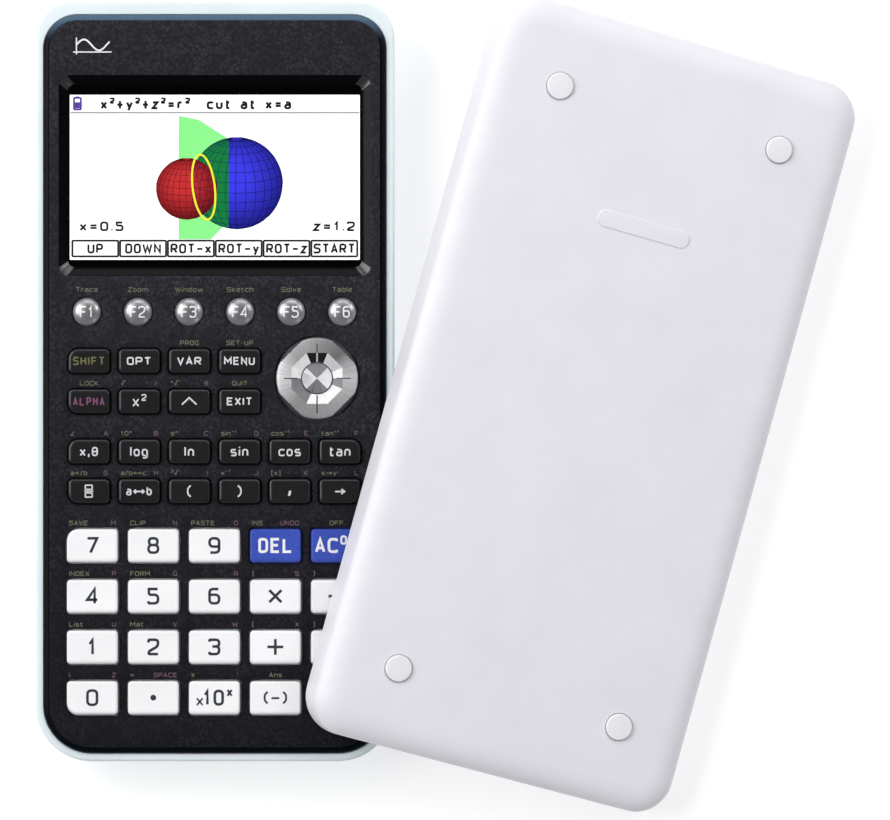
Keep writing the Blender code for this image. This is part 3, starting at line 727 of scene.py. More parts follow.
def draw_letter(bm, letter, left, foot, height, stroke, z, wide):
    """One letter, from the left edge and the foot of its box, inside its own strokes."""
    across = stroke_width(letter, wide) * height
    up = height - stroke
    for number, line in enumerate(STROKES.get(letter, "").split("/")):
        closed = line.startswith("o ")
        sharp = letter in SHARP or line.startswith("s ")
        points = []
        for pair in line.lstrip("os ").split():
            x, y = (float(part) for part in pair.split(","))
            points.append((left + stroke / 2 + x * across, foot + stroke / 2 + y * up))
        if len(points) < 2:
            continue
        if not sharp and len(points) > 2:
            points = softened(points, LETTER_CORNER * height, closed)
        ribbon(bm, points, stroke, z, z + SKIN - 0.0008 * number, closed)


def draw_words(bm, words, spot, height, z, stroke=None, wide=1.0, align="centre", gap=0.2):
    """Words in strokes, with capitals of this height and their middle at spot.

    ^ raises the one letter after it, as a smaller superscript; \\ keeps the next letter as it is.
    """
    stroke = stroke or 0.14 * height
    placed = []
    x = 0.0
    raised = False
    literal = False
    for letter in words:
        if letter == "\\" and not literal:
            literal = True
            continue
        if letter == "^" and not literal and not raised:
            raised = True
            continue
        size, foot, thick = SUPERSCRIPT if raised else (1.0, 0.0, 1.0)
        placed.append((letter, x, foot * height, size * height, stroke * thick))
        x += stroke_width(letter, wide) * height * size + stroke * thick + gap * height * size
        raised = False
        literal = False
    total = x - gap * height
    left = spot[0] - {"centre": total / 2, "left": 0.0, "right": total}[align]
    for letter, start, foot, size, thick in placed:
        draw_letter(bm, letter, left + start, spot[1] - height / 2 + foot, size, thick, z, wide)


def drape(bm, height_at, longest=0.45):
    """Splits long edges, then lays every vertex on a curved surface, keeping its own height."""
    bmesh.ops.triangulate(bm, faces=bm.faces)
    for _ in range(4):
        long_edges = [edge for edge in bm.edges if edge.calc_length() > longest]
        if not long_edges:
            break
        bmesh.ops.subdivide_edges(bm, edges=long_edges, cuts=1)
        bmesh.ops.triangulate(bm, faces=bm.faces)
    for vertex in bm.verts:
        vertex.co.z += height_at(vertex.co.x, vertex.co.y)


# ---------------------------------------------------------------- keys: names, legends


TOP_RIGHT, TOP_LEFT, FOOT_LEFT, FOOT_RIGHT = range(4)
WIDE_CORNERS = {
    "shift": TOP_LEFT,
    "alpha": FOOT_LEFT,
    "angle": TOP_LEFT,
    "fraction": FOOT_LEFT,
    "tangent": TOP_RIGHT,
    "store": FOOT_RIGHT,
    "seven": TOP_LEFT,
    "zero": FOOT_LEFT,
    "all_clear": TOP_RIGHT,
    "execute": FOOT_RIGHT,
}
FUNCTION_KEYS = ("f1", "f2", "f3", "f4", "f5", "f6")

# Small keys: legend, height of a capital, width of the letters. The fraction key has a drawing.
SMALL_KEYS = {
    "shift": ("SHIFT", 2.1, 0.9),
    "options": ("OPT", 2.0, 1.2),
    "variables": ("VAR", 2.0, 1.2),
    "menu": ("MENU", 2.0, 1.0),
    "alpha": ("ALPHA", 2.1, 0.72),
    "square": ("x^2", 2.7, 1.0),
    "power": ("\\^", 3.5, 1.3),
    "exit": ("EXIT", 2.0, 1.05),
    "angle": ("x,θ", 2.3, 1.0),
    "log": ("log", 2.35, 1.0),
    "natural_log": ("ln", 2.35, 1.0),
    "sine": ("sin", 2.35, 1.0),
    "cosine": ("cos", 2.35, 1.0),
    "tangent": ("tan", 2.35, 1.0),
    "fraction": ("", 0.0, 1.0),
    "decimal": ("a↔b", 2.1, 0.9),
    "left_bracket": ("(", 2.7, 1.3),
    "right_bracket": (")", 2.7, 1.3),
    "comma": (",", 3.6, 1.6),
    "store": ("→", 2.4, 1.0),
}
SMALL_INKS = {"shift": "ink_olive", "alpha": "ink_rose"}
# Number keys: the name of a sign, or the legend with its height and the width of its letters
NUMBER_KEYS = {
    "seven": ("7", 4.2, 1.0),
    "eight": ("8", 4.2, 1.0),
    "nine": ("9", 4.2, 1.0),
    "delete": ("DEL", 3.75, 0.84),
    "all_clear": ("AC^O^N", 3.75, 0.9),
    "four": ("4", 4.2, 1.05),
    "five": ("5", 4.2, 1.0),
    "six": ("6", 4.2, 1.0),
    "multiply": "cross",
    "divide": "divide",
    "one": ("1", 4.2, 1.0),
    "two": ("2", 4.2, 1.0),
    "three": ("3", 4.2, 1.0),
    "plus": "plus",
    "minus": "minus",
    "zero": ("0", 4.2, 1.0),
    "point": "point",
    "exponent": ("10^x", 4.0, 0.86),
    "negative": ("(-)", 2.9, 1.2),
    "execute": ("=", 3.6, 1.2),
}
BLUE_KEYS = ("delete", "all_clear")
# Small print above each key: what it does after the shift key | what it does after the alpha key
UPPER_PRINT = {
    "f1": "Trace", "f2": "Zoom", "f3": "Window", "f4": "Sketch", "f5": "Solve", "f6": "Table",
    "variables": "PROG", "menu": "SET UP",
    "alpha": "LOCK", "square": "√|r", "power": "^x√|θ", "exit": "QUIT",
    "angle": "∠|A", "log": "10^x|B", "natural_log": "e^x|C",
    "sine": "sin^-^1|D", "cosine": "cos^-^1|E", "tangent": "tan^-^1|F",
    "fraction": "a=/b|G", "decimal": "a/b↔c|H", "left_bracket": "^3√|I",
    "right_bracket": "x^-^1|J", "comma": "[x]|K", "store": "x→y|L",
    "seven": "SAVE|M", "eight": "CLIP|N", "nine": "PASTE|O", "delete": "INS|UNDO", "all_clear": "OFF",
    "four": "INDEX|P", "five": "FORM|Q", "six": "|R", "multiply": "{|S", "divide": "}|T",
    "one": "List|U", "two": "Mat|V", "three": "|W", "plus": "[|X", "minus": "]|Y",
    "zero": "i|Z", "point": "=|SPACE", "exponent": "π|'", "negative": "Ans", "execute": "→",
}


def key_size(name):
    """Centre of a key's top, its width and height, and the key's lowest and highest Z."""
    low, high = node_box(f"key_{name}")
    centre = (low + high) / 2
    return (centre.x, centre.y), high.x - low.x - 2 * KEY_LEDGE, high.y - low.y - 2 * KEY_LEDGE, low.z, high.z


def key_radii(name):
    """The four corner radii of a key's top: some keys have one wide corner."""
    tight, wide = (0.9, 2.8) if name in NUMBER_KEYS else (1.1, 2.4)
    radii = [tight] * 4
    if name in WIDE_CORNERS:
        radii[WIDE_CORNERS[name]] = wide
    return radii


def key_outline(name, grow, low_side=0.0):
    """A key's top grown by grow on every side, with low_side more taken off its lower side."""
    (x, y), width, height, _, _ = key_size(name)
    if name in FUNCTION_KEYS:
        return circle(width / 2 + grow, 40, (x, y))
    radii = [max(radius + grow, 0.05) for radius in key_radii(name)]
    size = (width + 2 * grow, height + 2 * grow - low_side)
    return rounded(*size, radii, 6, (x, y + low_side / 2))


def make_cap(name, material, edge, rise, low_side, dish):
    """A key cap on its ledge: softened edges, a front slope and a slightly dished top."""
    _, _, _, low, high = key_size(name)
    sections = [
        (key_outline(name, KEY_LEDGE), low),
        (key_outline(name, KEY_LEDGE), low + KEY_LEDGE_HEIGHT),
        (key_outline(name, 0.0), low + KEY_LEDGE_HEIGHT),
    ]
    for inset, drop in quarter(6, edge, rise):
        sections.append((key_outline(name, -inset, low_side * inset / edge), high - drop))
    reach = 0.8  # how far in from the edge the dish is at its full depth
    for step in (0.35, reach):
        sections.append((key_outline(name, -edge - step, low_side), high - dish * step / reach))
    add_loft(f"{name}_cap", sections, material, f"{name}_key", material, (f"key_{name}",), angle=24.0)
    return high - dish


def draw_fraction(bm, spot, top):
    """A box over a bar over a box."""
    x, y = spot
    for up in (0.95, -0.95):
        ribbon(bm, rounded(1.7, 1.05, [0.1] * 4, 2, (x, y + up)), 0.34, top, top + SKIN, True)
    ribbon(bm, [(x - 1.15, y), (x + 1.15, y)], 0.3, top, top + SKIN)


def make_small_keys():
    comma_stroke, comma_raise = 0.55, 1.0
    for name, (legend, height, wide) in SMALL_KEYS.items():
        top = make_cap(name, "black_key", 0.85, 0.5, 0.05, 0.02)
        x, y = key_size(name)[0]
        bm = bmesh.new()
        if name == "fraction":
            draw_fraction(bm, (x, y), top)
        elif name == "comma":
            draw_words(bm, legend, (x, y + comma_raise), height, top, comma_stroke, LEGEND_WIDTH * wide)
        else:
            draw_words(bm, legend, (x, y), height, top, 0.38, LEGEND_WIDTH * wide)
        tone = SMALL_INKS.get(name, "ink_pale")
        add_piece(f"{name}_legend", bm, tone, f"{name}_key", "black_key")


def draw_sign(bm, sign, spot, top):
    """Plus, minus, times, divide and point, drawn in strokes and dots."""
    x, y = spot
    arm = 1.5 if sign == "cross" else 1.95
    lines = {
        "plus": [((-arm, 0.0), (arm, 0.0)), ((0.0, -arm), (0.0, arm))],
        "minus": [((-arm, 0.0), (arm, 0.0))],
        "cross": [((-arm, -arm), (arm, arm)), ((-arm, arm), (arm, -arm))],
        "divide": [((-arm, 0.0), (arm, 0.0))],
    }
    dots = {"divide": [(0.42, 16, -1.25), (0.42, 16, 1.25)], "point": [(0.72, 24, 0.0)]}
    for number, line in enumerate(lines.get(sign, ())):
        high = top + SKIN * (1 - 0.02 * number)
        ribbon(bm, [(x + across, y + up) for across, up in line], 0.68, top, high)
    for radius, count, up in dots.get(sign, ()):
        close_loft(bm, [(circle(radius, count, (x, y + up)), z) for z in (top, top + SKIN)])


def make_number_keys():
    for name, legend in NUMBER_KEYS.items():
        blue = name in BLUE_KEYS
        material = "blue_key" if blue else "white_key"
        top = make_cap(name, material, 0.4, 0.8, 0.6, 0.04)
        (x, y), width, _, _, _ = key_size(name)
        y += 0.12  # to the middle of the top, above its front slope
        align = "centre"
        bm = bmesh.new()
        if name == "exponent":
            draw_words(bm, "×", (x - 3.6, y - 0.9), 2.3, top, 0.42)
            x += 0.8
        elif name == "all_clear":
            align = "left"
            x += 1.0 - width / 2
        if isinstance(legend, tuple):
            words, size, wide = legend
            stroke = 0.5 if name == "negative" else 0.66
            draw_words(bm, words, (x, y), size, top, stroke, LEGEND_WIDTH * wide, align, 0.15)
        else:
            draw_sign(bm, legend, (x, y), top)
        tone = "ink_white" if blue else "ink_dark"
        add_piece(f"{name}_legend", bm, tone, f"{name}_key", material)


def dome_drop(distance, radius):
    """How far below its crown a function key's dome lies at this distance from its middle."""
    roundness = 0.93
    share = min(distance / radius, 1.0)
    fall = 1 - math.sqrt(max(1 - roundness * share**2, 0.0))
    return FUNCTION_DOME * fall / (1 - math.sqrt(1 - roundness))


def make_function_keys():
    """Round silver domes, with legends that follow them."""
    count = 48
    rings = 20
    for name in FUNCTION_KEYS:
        spot, width, _, low, high = key_size(name)
        radius = width / 2
        sections = [
            (circle(radius + KEY_LEDGE, count, spot), low),
            (circle(radius + KEY_LEDGE, count, spot), low + KEY_LEDGE_HEIGHT),
            (circle(radius, count, spot), low + KEY_LEDGE_HEIGHT),
        ]
        for step in range(rings):
            reach = radius * math.sin(math.pi / 2 * (rings - step) / rings)
            sections.append((circle(reach, count, spot), high - dome_drop(reach, radius)))
        where = (f"{name}_key", "silver_key")
        add_loft(f"{name}_cap", sections, "silver_key", *where, (f"key_{name}",), angle=40.0)

        bm = bmesh.new()
        draw_words(bm, name.upper(), spot, 2.9, 0.0, 0.38, 0.74, gap=0.12)

        def on_dome(x, y, spot=spot, radius=radius, high=high):
            return high - dome_drop(math.hypot(x - spot[0], y - spot[1]), radius)

        drape(bm, on_dome)
        add_piece(f"{name}_legend", bm, "ink_white", *where)


# ---------------------------------------------------------------- rocking pad


PAD_FLAT = 9.2
PAD_BOWL = 6.3
PAD_BOSS = 4.0
PAD_BOSS_EDGE = 0.35
PAD_FALL = 0.03  # how steeply the flat ring curves down outwards
CORNER_SLOPE = 0.85
BOWL_DEPTH = 0.95
BOSS_HEIGHT = 0.3
PYRAMID_HEIGHT = 0.8
PAD_EDGE = 0.5
PAD_SKIRT = 1.9
PAD_HOLLOW = 2.2  # from the pad's highest point down to its underside
PAD_LIFT = 0.8  # keeps the skirt off the rubber sheet when the pad tilts
PAD_LINES = ((4.8, 8.4, 0.26), (6.5, 8.6, 0.26), (4.8, 8.2, 0.26), (4.2, 8.6, 0.36))  # from east
FACET_SLOPES = (0.2, 0.3, 0.34, 0.34, 0.2, 0.2, 0.34, 0.2)  # from east, anticlockwise
PAD_LOOKS = ("pad", *PAD_PAINTED_LIGHT)
SPUN_PAINTED_SHEEN, BRIGHT, LIGHT, GREY, SHADE, DARK = range(len(PAD_LOOKS))
HALF_FACET_PAINTED_LIGHT = (  # the painted light tone of each half facet, from east, anticlockwise
    BRIGHT, LIGHT, LIGHT, DARK, DARK, BRIGHT, BRIGHT, BRIGHT,
    GREY, GREY, GREY, BRIGHT, BRIGHT, BRIGHT, BRIGHT, GREY,
)


def pad_reaches(x, y):
    """How far x, y lies from the pad's centre in each of eight directions, from east."""
    turns = [math.pi / 4 * n for n in range(8)]
    return [x * math.cos(t) + y * math.sin(t) for t in turns]


def pad_painted_tone(x, y):
    """Number of the pad's material at x, y from its centre: painted light and shade on its boss, bowl facets
    and corners.
    """
    reaches = pad_reaches(x, y)
    distance = math.hypot(x, y)
    if max(reaches[1::2]) > PAD_FLAT:
        return SHADE
    if distance < PAD_BOSS - PAD_BOSS_EDGE:
        return BRIGHT if x > abs(y) else LIGHT if -x > abs(y) else GREY
    if distance < PAD_BOSS:
        return SHADE
    if max(reaches) < PAD_BOWL:
        return HALF_FACET_PAINTED_LIGHT[int(math.atan2(y, x) % (2 * math.pi) / (math.pi / 8))]
    return SPUN_PAINTED_SHEEN


def pad_height(x, y):
    """Height of the pad's upper surface from its highest point, at x, y from its centre."""
    reaches = pad_reaches(x, y)
    reach = max(reaches)
    distance = math.hypot(x, y)
    height = -PAD_FALL * max(distance - PAD_BOWL, 0.0) ** 2
    for corner_reach in reaches[1::2]:
        height -= CORNER_SLOPE * max(corner_reach - PAD_FLAT, 0.0)
    if reach < PAD_BOWL:
        facet = round(math.atan2(y, x) / (math.pi / 4)) % 8
        height -= min((PAD_BOWL - reach) * FACET_SLOPES[facet], BOWL_DEPTH)
    if distance < PAD_BOSS:
        wall = min((PAD_BOSS - distance) / PAD_BOSS_EDGE, 1.0)
        pyramid = 1 - max(abs(x), abs(y)) / PAD_BOSS
        height += wall * (BOSS_HEIGHT + PYRAMID_HEIGHT * pyramid)
    return height


def make_pad():
    """The rocking pad: a flat ring, a bowl of eight facets and a pyramid in the middle."""
    low, high = node_box("pad_cap")
    centre = (low + high) / 2
    radius = (high.x - low.x) / 2
    count = 192
    bm = bmesh.new()

    def row(reach, drop=0.0):
        return [
            bm.verts.new((centre.x + x, centre.y + y, high.z + pad_height(x, y) - drop))
            for x, y in circle(reach, count)
        ]

    bowl_steps, flat_start, flat_step = 26, 6.9, 0.125
    stops = [0.12, 0.6, 1.2, 1.8, 2.4, 2.9, 3.3, 3.6, 3.66, 3.8, 3.95, 4.0]  # finer at the boss's wall
    stops += [4.05 + 0.11 * n for n in range(bowl_steps)]
    flat_steps = int((radius - PAD_EDGE - flat_start) / flat_step)
    stops += [flat_start + flat_step * n for n in range(1, flat_steps)]
    rows = [row(stop) for stop in stops]
    rows += [row(radius - inset, drop) for inset, drop in reversed(quarter(5, PAD_EDGE, PAD_EDGE))]
    foot = low.z + PAD_LIFT
    inner = radius - PAD_SKIRT
    for reach, z in ((radius, foot), (inner, foot), (inner, high.z - PAD_HOLLOW)):
        rows.append(ring(bm, circle(reach, count, (centre.x, centre.y)), z))
    skin(bm, rows)
    bm.faces.new(rows[0])
    bm.faces.new(rows[-1])
    where = ("pad", "silver_key")
    disc = add_piece("pad_disc", bm, PAD_LOOKS[0], *where, ("pad_cap",), None, 9.0, PAD_LOOKS[1:])
    # Upward faces take lit and shaded copies of the metal: painted light and shade.
    for face in disc.data.polygons:
        spot = face.center / TO_METRES - centre
        if face.normal.z > 0.3 and spot.length < radius + 0.5:
            face.material_index = pad_painted_tone(spot.x, spot.y)

    dark, painted_highlight = bmesh.new(), bmesh.new()
    for n, (start, stop, width) in enumerate(PAD_LINES):
        turn = math.pi / 2 * n
        across = Vector((math.cos(turn), math.sin(turn)))
        ribbon(dark, [tuple(across * reach) for reach in (start, stop)], width, 0.0, SKIN)
    # A pale line down the north facet: a painted highlight.
    ribbon(painted_highlight, [(0.0, PAD_BOSS + 0.1), (0.0, PAD_BOWL - 0.1)], 0.4, 0.0, SKIN)
    for name, lines, tone in (("pad_lines", dark, "ink_groove"), ("pad_painted_highlight_line", painted_highlight, "pad_light")):
        drape(lines, pad_height, 0.3)
        bmesh.ops.translate(lines, verts=lines.verts, vec=(centre.x, centre.y, high.z))
        add_piece(name, lines, tone, *where)


# ---------------------------------------------------------------- case


def case_outline(inset, clamp=math.inf):
    """The case's outline moved in by inset, and cut off at clamp on both sides."""
    top = max(CASE_TOP_RADIUS - inset, 0.2)
    foot = max(CASE_FOOT_RADIUS - inset, 0.2)
    points = rounded(CASE_WIDTH - 2 * inset, CASE_LENGTH - 2 * inset, (top, top, foot, foot), 16)
    return [(max(-clamp, min(clamp, x)), y) for x, y in points]


def face_outline(inset):
    """The edge between rim and face: as the case's outline, but further in at the top end."""
    top = CASE_TOP_RADIUS + 1.5 - inset
    foot = CASE_FOOT_RADIUS - inset
    size = (CASE_WIDTH - 2 * inset, CASE_LENGTH - 2 * inset - HEAD_RIM)
    return rounded(*size, (top, top, foot, foot), 16, (0.0, -HEAD_RIM / 2))


def bay_box():
    """The battery bay's rectangle in the back, round its door: low and high X and Y."""
    low, high = node_box("battery_door")
    gap, hinge_gap = 0.3, 0.7
    return (low.x - gap, high.x + gap), (low.y - gap, high.y - hinge_gap)


def screw_places():
    """Screws in the back, in three pairs: above the display, over the number keys, at the foot."""
    x = CASE_WIDTH / 2 - CASE_UNDER_EDGE - SCREW_RECESS - 0.4
    display_top = DISPLAY_MIDDLE.y + DISPLAY_HEIGHT / 2
    rows = (
        (CASE_WIDTH / 2 - CASE_TOP_RADIUS, (display_top + CASE_LENGTH / 2) / 2 - 1),
        (x, middle("key_fraction").y / 2 + middle("key_seven").y / 2 + 0.6),
        (x, CASE_FOOT_RADIUS - CASE_LENGTH / 2),
    )
    return [(side * across, y) for across, y in rows for side in (-1, 1)]


def make_case():
    """White tray: rounded under edge, rail groove, soft rim, and the well for the cells."""
    lip = 0.18
    clamp = CASE_WIDTH / 2 - GROOVE_DEPTH
    groove_top = GROOVE_Z + GROOVE_HEIGHT
    under_edge = quarter(8, CASE_UNDER_EDGE, CASE_UNDER_EDGE)
    sections = [(case_outline(inset), drop) for inset, drop in reversed(under_edge)]
    sections += [
        (case_outline(0.0), GROOVE_Z - lip),
        (case_outline(lip / 2), GROOVE_Z),
        (case_outline(0.0, clamp), GROOVE_Z),
        (case_outline(0.0, clamp), groove_top),
        (case_outline(lip / 2), groove_top),
        (case_outline(0.0), groove_top + lip),
    ]
    for inset, drop in quarter(6, CASE_RIM_EDGE, CASE_RIM_EDGE):
        sections.append((case_outline(inset), CASE_TOP - drop))
    sections += [
        (face_outline(CASE_RIM - 0.12), CASE_TOP),
        (face_outline(CASE_RIM), CASE_TOP - 0.12),
        (face_outline(CASE_RIM), CASE_SIDE_HEIGHT),
        (face_outline(CASE_SIDE), CASE_SIDE_HEIGHT),
        (face_outline(CASE_SIDE), CASE_FLOOR),
    ]
    bm = bmesh.new()
    under, inside = loft(bm, sections)

    (left, right), (foot, head) = bay_box()
    centre = ((left + right) / 2, (foot + head) / 2)
    well_top = node_box("cell_1")[1].z + 0.1
    well_wall = 1.2
    well = rounded(right - left, head - foot, [0.4] * 4, 2, centre)
    mouth = pocket(bm, [(well, 0.0), (well, well_top)])
    wide = (right - left + 2 * well_wall, head - foot + 2 * well_wall)
    around = rounded(*wide, [1.0] * 4, 2, centre)
    wall = pocket(bm, [(around, CASE_FLOOR), (around, well_top + 0.1)])
    recesses = []
    for spot in screw_places():
        narrow = circle(SCREW_RECESS - 0.15, 28, spot)
        sections = [(circle(SCREW_RECESS, 28, spot), 0.0), (narrow, 0.15), (narrow, 1.1)]
        recesses.append(pocket(bm, sections))
    fill(bm, under, mouth, *recesses)
    fill(bm, inside, wall)

    end = CASE_LENGTH / 2
    x = DATA_SOCKET_X
    cutters = [
        block((-FINGER_NOTCH, foot - 4.0, -1.0), (FINGER_NOTCH, foot + 0.2, 0.8)),
        block((x - 4.0, end - 1.4, SOCKET_Z - 1.9), (x + 4.0, end + 1.0, SOCKET_Z + 1.9)),
    ]
    jack = bmesh.new()
    turn = Matrix.Translation((LINK_SOCKET_X, end, SOCKET_Z)) @ Matrix.Rotation(math.pi / 2, 4, "X")
    bmesh.ops.create_cone(
        jack, cap_ends=True, segments=32, radius1=2.1, radius2=2.1, depth=2.8, matrix=turn
    )
    cutters.append(mesh_of(jack))
    shell = carve(mesh_of(bm), cutters)
    add_mesh("case_shell", shell, "shell", "calculator", "white_shell", ("rear_case",))
    for number, spot in enumerate(screw_places(), 1):
        make_screw(number, *spot)
    make_sockets()


def make_screw(number, x, y):
    """A pan-head screw with a cross, standing in its recess in the back."""
    radius, foot, crown = 2.0, 1.05, 0.3
    sections = [(circle(radius, 32, (x, y)), foot)]
    for inset, drop in quarter(4, 0.5, 0.45):
        sections.append((circle(radius - inset, 32, (x, y)), crown + drop))
    cuts = []
    for across, up in ((1.1, 0.18), (0.18, 1.1)):
        cuts.append(block((x - across, y - up, 0.1), (x + across, y + up, 0.75)))
    add_mesh(f"case_screw_{number}", carve(solid(*sections), cuts), "screw", "calculator", "cell")


def make_sockets():
    """A flat data socket and a round link socket in the top end."""
    upright = Matrix.Rotation(-math.pi / 2, 4, "X")
    sockets = (
        ("data_socket", DATA_SOCKET_X, "socket_metal", "cell",
         rounded(7.6, 3.4, (0.5, 0.5, 1.2, 1.2), 4), rounded(7.0, 2.8, (0.3, 0.3, 1.0, 1.0), 4)),
        ("link_socket", LINK_SOCKET_X, "socket", "rubber", circle(1.95, 32), circle(1.3, 32)),
    )
    for name, x, material, slot, outer, inner in sockets:
        place = Matrix.Translation((x, CASE_LENGTH / 2 - 1.35, SOCKET_Z)) @ upright
        sections = [(outer, 0.0), (outer, 1.2), (inner, 1.2), (inner, 0.1)]
        add_loft(name, sections, material, "calculator", slot, place=place)


def opening(bm, outline_at):
    """The softened wall of one opening through the face. Returns its upper and lower ring."""
    under = FACE_TOP - FACE_THICKNESS
    sections = []
    for inset, drop in reversed(quarter(3, OPENING_EDGE, OPENING_EDGE)):
        sections.append((outline_at(inset), FACE_TOP - drop))
    sections.append((outline_at(0.0), under))
    return loft(bm, sections)


def display_outline(grow, corner, segments=4):
    """The display's opening grown by grow, with its own corner radius."""
    spot = (DISPLAY_MIDDLE.x, DISPLAY_MIDDLE.y)
    size = (DISPLAY_WIDTH + 2 * grow, DISPLAY_HEIGHT + 2 * grow)
    return rounded(*size, [corner] * 4, segments, spot)


def make_face():
    """Black face with its openings, its rounded outer edge and the skirt inside the rim."""
    names = (*FUNCTION_KEYS, *SMALL_KEYS, *NUMBER_KEYS)
    outlines = [lambda grow, name=name: key_outline(name, KEY_CLEARANCE + grow) for name in names]
    low, high = node_box("pad_cap")
    spot = ((low.x + high.x) / 2, (low.y + high.y) / 2)
    radius = (high.x - low.x) / 2 + PAD_CLEARANCE
    outlines.append(lambda grow: circle(radius + grow, 96, spot))
    outlines.append(lambda grow: display_outline(grow, DISPLAY_CORNER + grow))
    bm = bmesh.new()
    openings = [opening(bm, outline_at) for outline_at in outlines]

    plate = ring(bm, face_outline(FACE_INSET + FACE_ROUND), FACE_TOP)
    fill(bm, plate, *(upper for upper, _ in openings))
    inner = ring(bm, face_outline(FACE_INSET + FACE_SKIRT), FACE_TOP - FACE_THICKNESS)
    fill(bm, inner, *(lower for _, lower in openings))
    first_edge_face = len(bm.faces)
    skirt_foot = FACE_TOP - FACE_SKIRT_HEIGHT
    sections = [
        (face_outline(FACE_INSET + FACE_SKIRT), skirt_foot),
        (face_outline(FACE_INSET), skirt_foot),
    ]
    for inset, drop in quarter(8, FACE_ROUND, 1.0)[:-1]:
        sections.append((face_outline(FACE_INSET + inset), FACE_TOP - drop))
    rings = [ring(bm, points, z) for points, z in sections] + [plate]
    skin(bm, rings)
    bm.faces.ensure_lookup_table()
    # The rounded edge takes the second material, with its painted reflection.
    for face in bm.faces[first_edge_face:]:
        face.material_index = 1
    skin(bm, [inner, rings[0]])
    where = ("calculator", "black_face", ("face_plate",))
    add_piece("face_front", bm, "face", *where, None, 30.0, ("edge",))


def make_display():
    """Sloped glossy bezel with a painted highlight on its paler corners, the dark window, and the lit
    picture.
    """
    window_top = WINDOW_HIGH.z
    corner_steps = 4
    bezel = (
        (0.0, window_top + 0.02),
        (0.0, FACE_TOP - OPENING_EDGE),
        (-0.25, FACE_TOP - OPENING_EDGE - 0.08),
        (-DISPLAY_SLOPE, window_top + 0.12),
        (-DISPLAY_SLOPE - 0.1, window_top + 0.02),
    )
    bm = bmesh.new()
    rings = [
        ring(bm, display_outline(grow, DISPLAY_CORNER + max(grow, -0.6), corner_steps), z)
        for grow, z in bezel
    ]
    skin(bm, rings + [rings[0]])
    # The slope's faces round the corners take the paler material: painted highlight.
    for n in range(len(rings[0])):
        if n % (corner_steps + 1) == 0:
            continue
        for lower, upper in zip(rings[1:3], rings[2:4]):
            wanted = {lower[n - 1], lower[n], upper[n - 1], upper[n]}
            for face in lower[n].link_faces:
                if set(face.verts) == wanted:
                    face.material_index = 1
    where = ("calculator", "window")
    add_piece("display_bezel", bm, "bezel", *where, angle=20.0, extra=("bezel_corner_painted_highlight",))

    low, high = WINDOW_LOW, WINDOW_HIGH
    spot = (DISPLAY_MIDDLE.x, DISPLAY_MIDDLE.y)
    edge = 0.1
    pane = rounded(high.x - low.x, high.y - low.y, [1.0] * 4, 4, spot)
    pane_top = rounded(high.x - low.x - 2 * edge, high.y - low.y - 2 * edge, [0.9] * 4, 4, spot)
    sections = [(pane, low.z), (pane, high.z - edge), (pane_top, high.z)]
    add_loft("window_pane", sections, "window", *where, ("display_window",))
    make_picture(window_top)


LEVELS = {
    name: 0.015 * (n + 1)
    for n, name in enumerate(("sheet", "plane", "blue", "overlap", "red", "lines", "cut", "words"))
}


def add_screen(name, bm, material):
    add_piece(f"screen_{name}", bm, material, "calculator", "display")


def add_flat(name, points, level, base, material):
    """A flat area of the picture, as high as its level."""
    sections = [(points, base), (points, base + LEVELS[level])]
    add_screen(name, close_loft(bmesh.new(), sections), material)


def on_globe(latitude, longitude):
    return Vector((
        math.cos(latitude) * math.sin(longitude),
        math.sin(latitude),
        math.cos(latitude) * math.cos(longitude),
    ))


def draw_globe(bm, centre, radius, low, high):
    """The front half of a grid of latitudes and longitudes on a tilted ball, as strokes."""
    spin = Matrix.Rotation(0.22, 3, "X") @ Matrix.Rotation(0.2, 3, "Y")
    step = math.pi / 14
    round_turns = [math.pi / 18 * n for n in range(-18, 19)]
    pole_turns = [math.pi / 24 * n for n in range(-11, 12)]
    lines = [[on_globe(step * n, turn) for turn in round_turns] for n in range(-6, 7)]
    lines += [[on_globe(turn, step * n) for turn in pole_turns] for n in range(28)]
    for line in lines:
        run = []
        for x, y, z in [spin @ spot for spot in line] + [(0.0, 0.0, -1.0)]:
            if z > 0.0:
                run.append((centre[0] + radius * x, centre[1] + radius * y))
                continue
            if len(run) > 2:
                ribbon(bm, run, 0.1, low, high)
            run = []


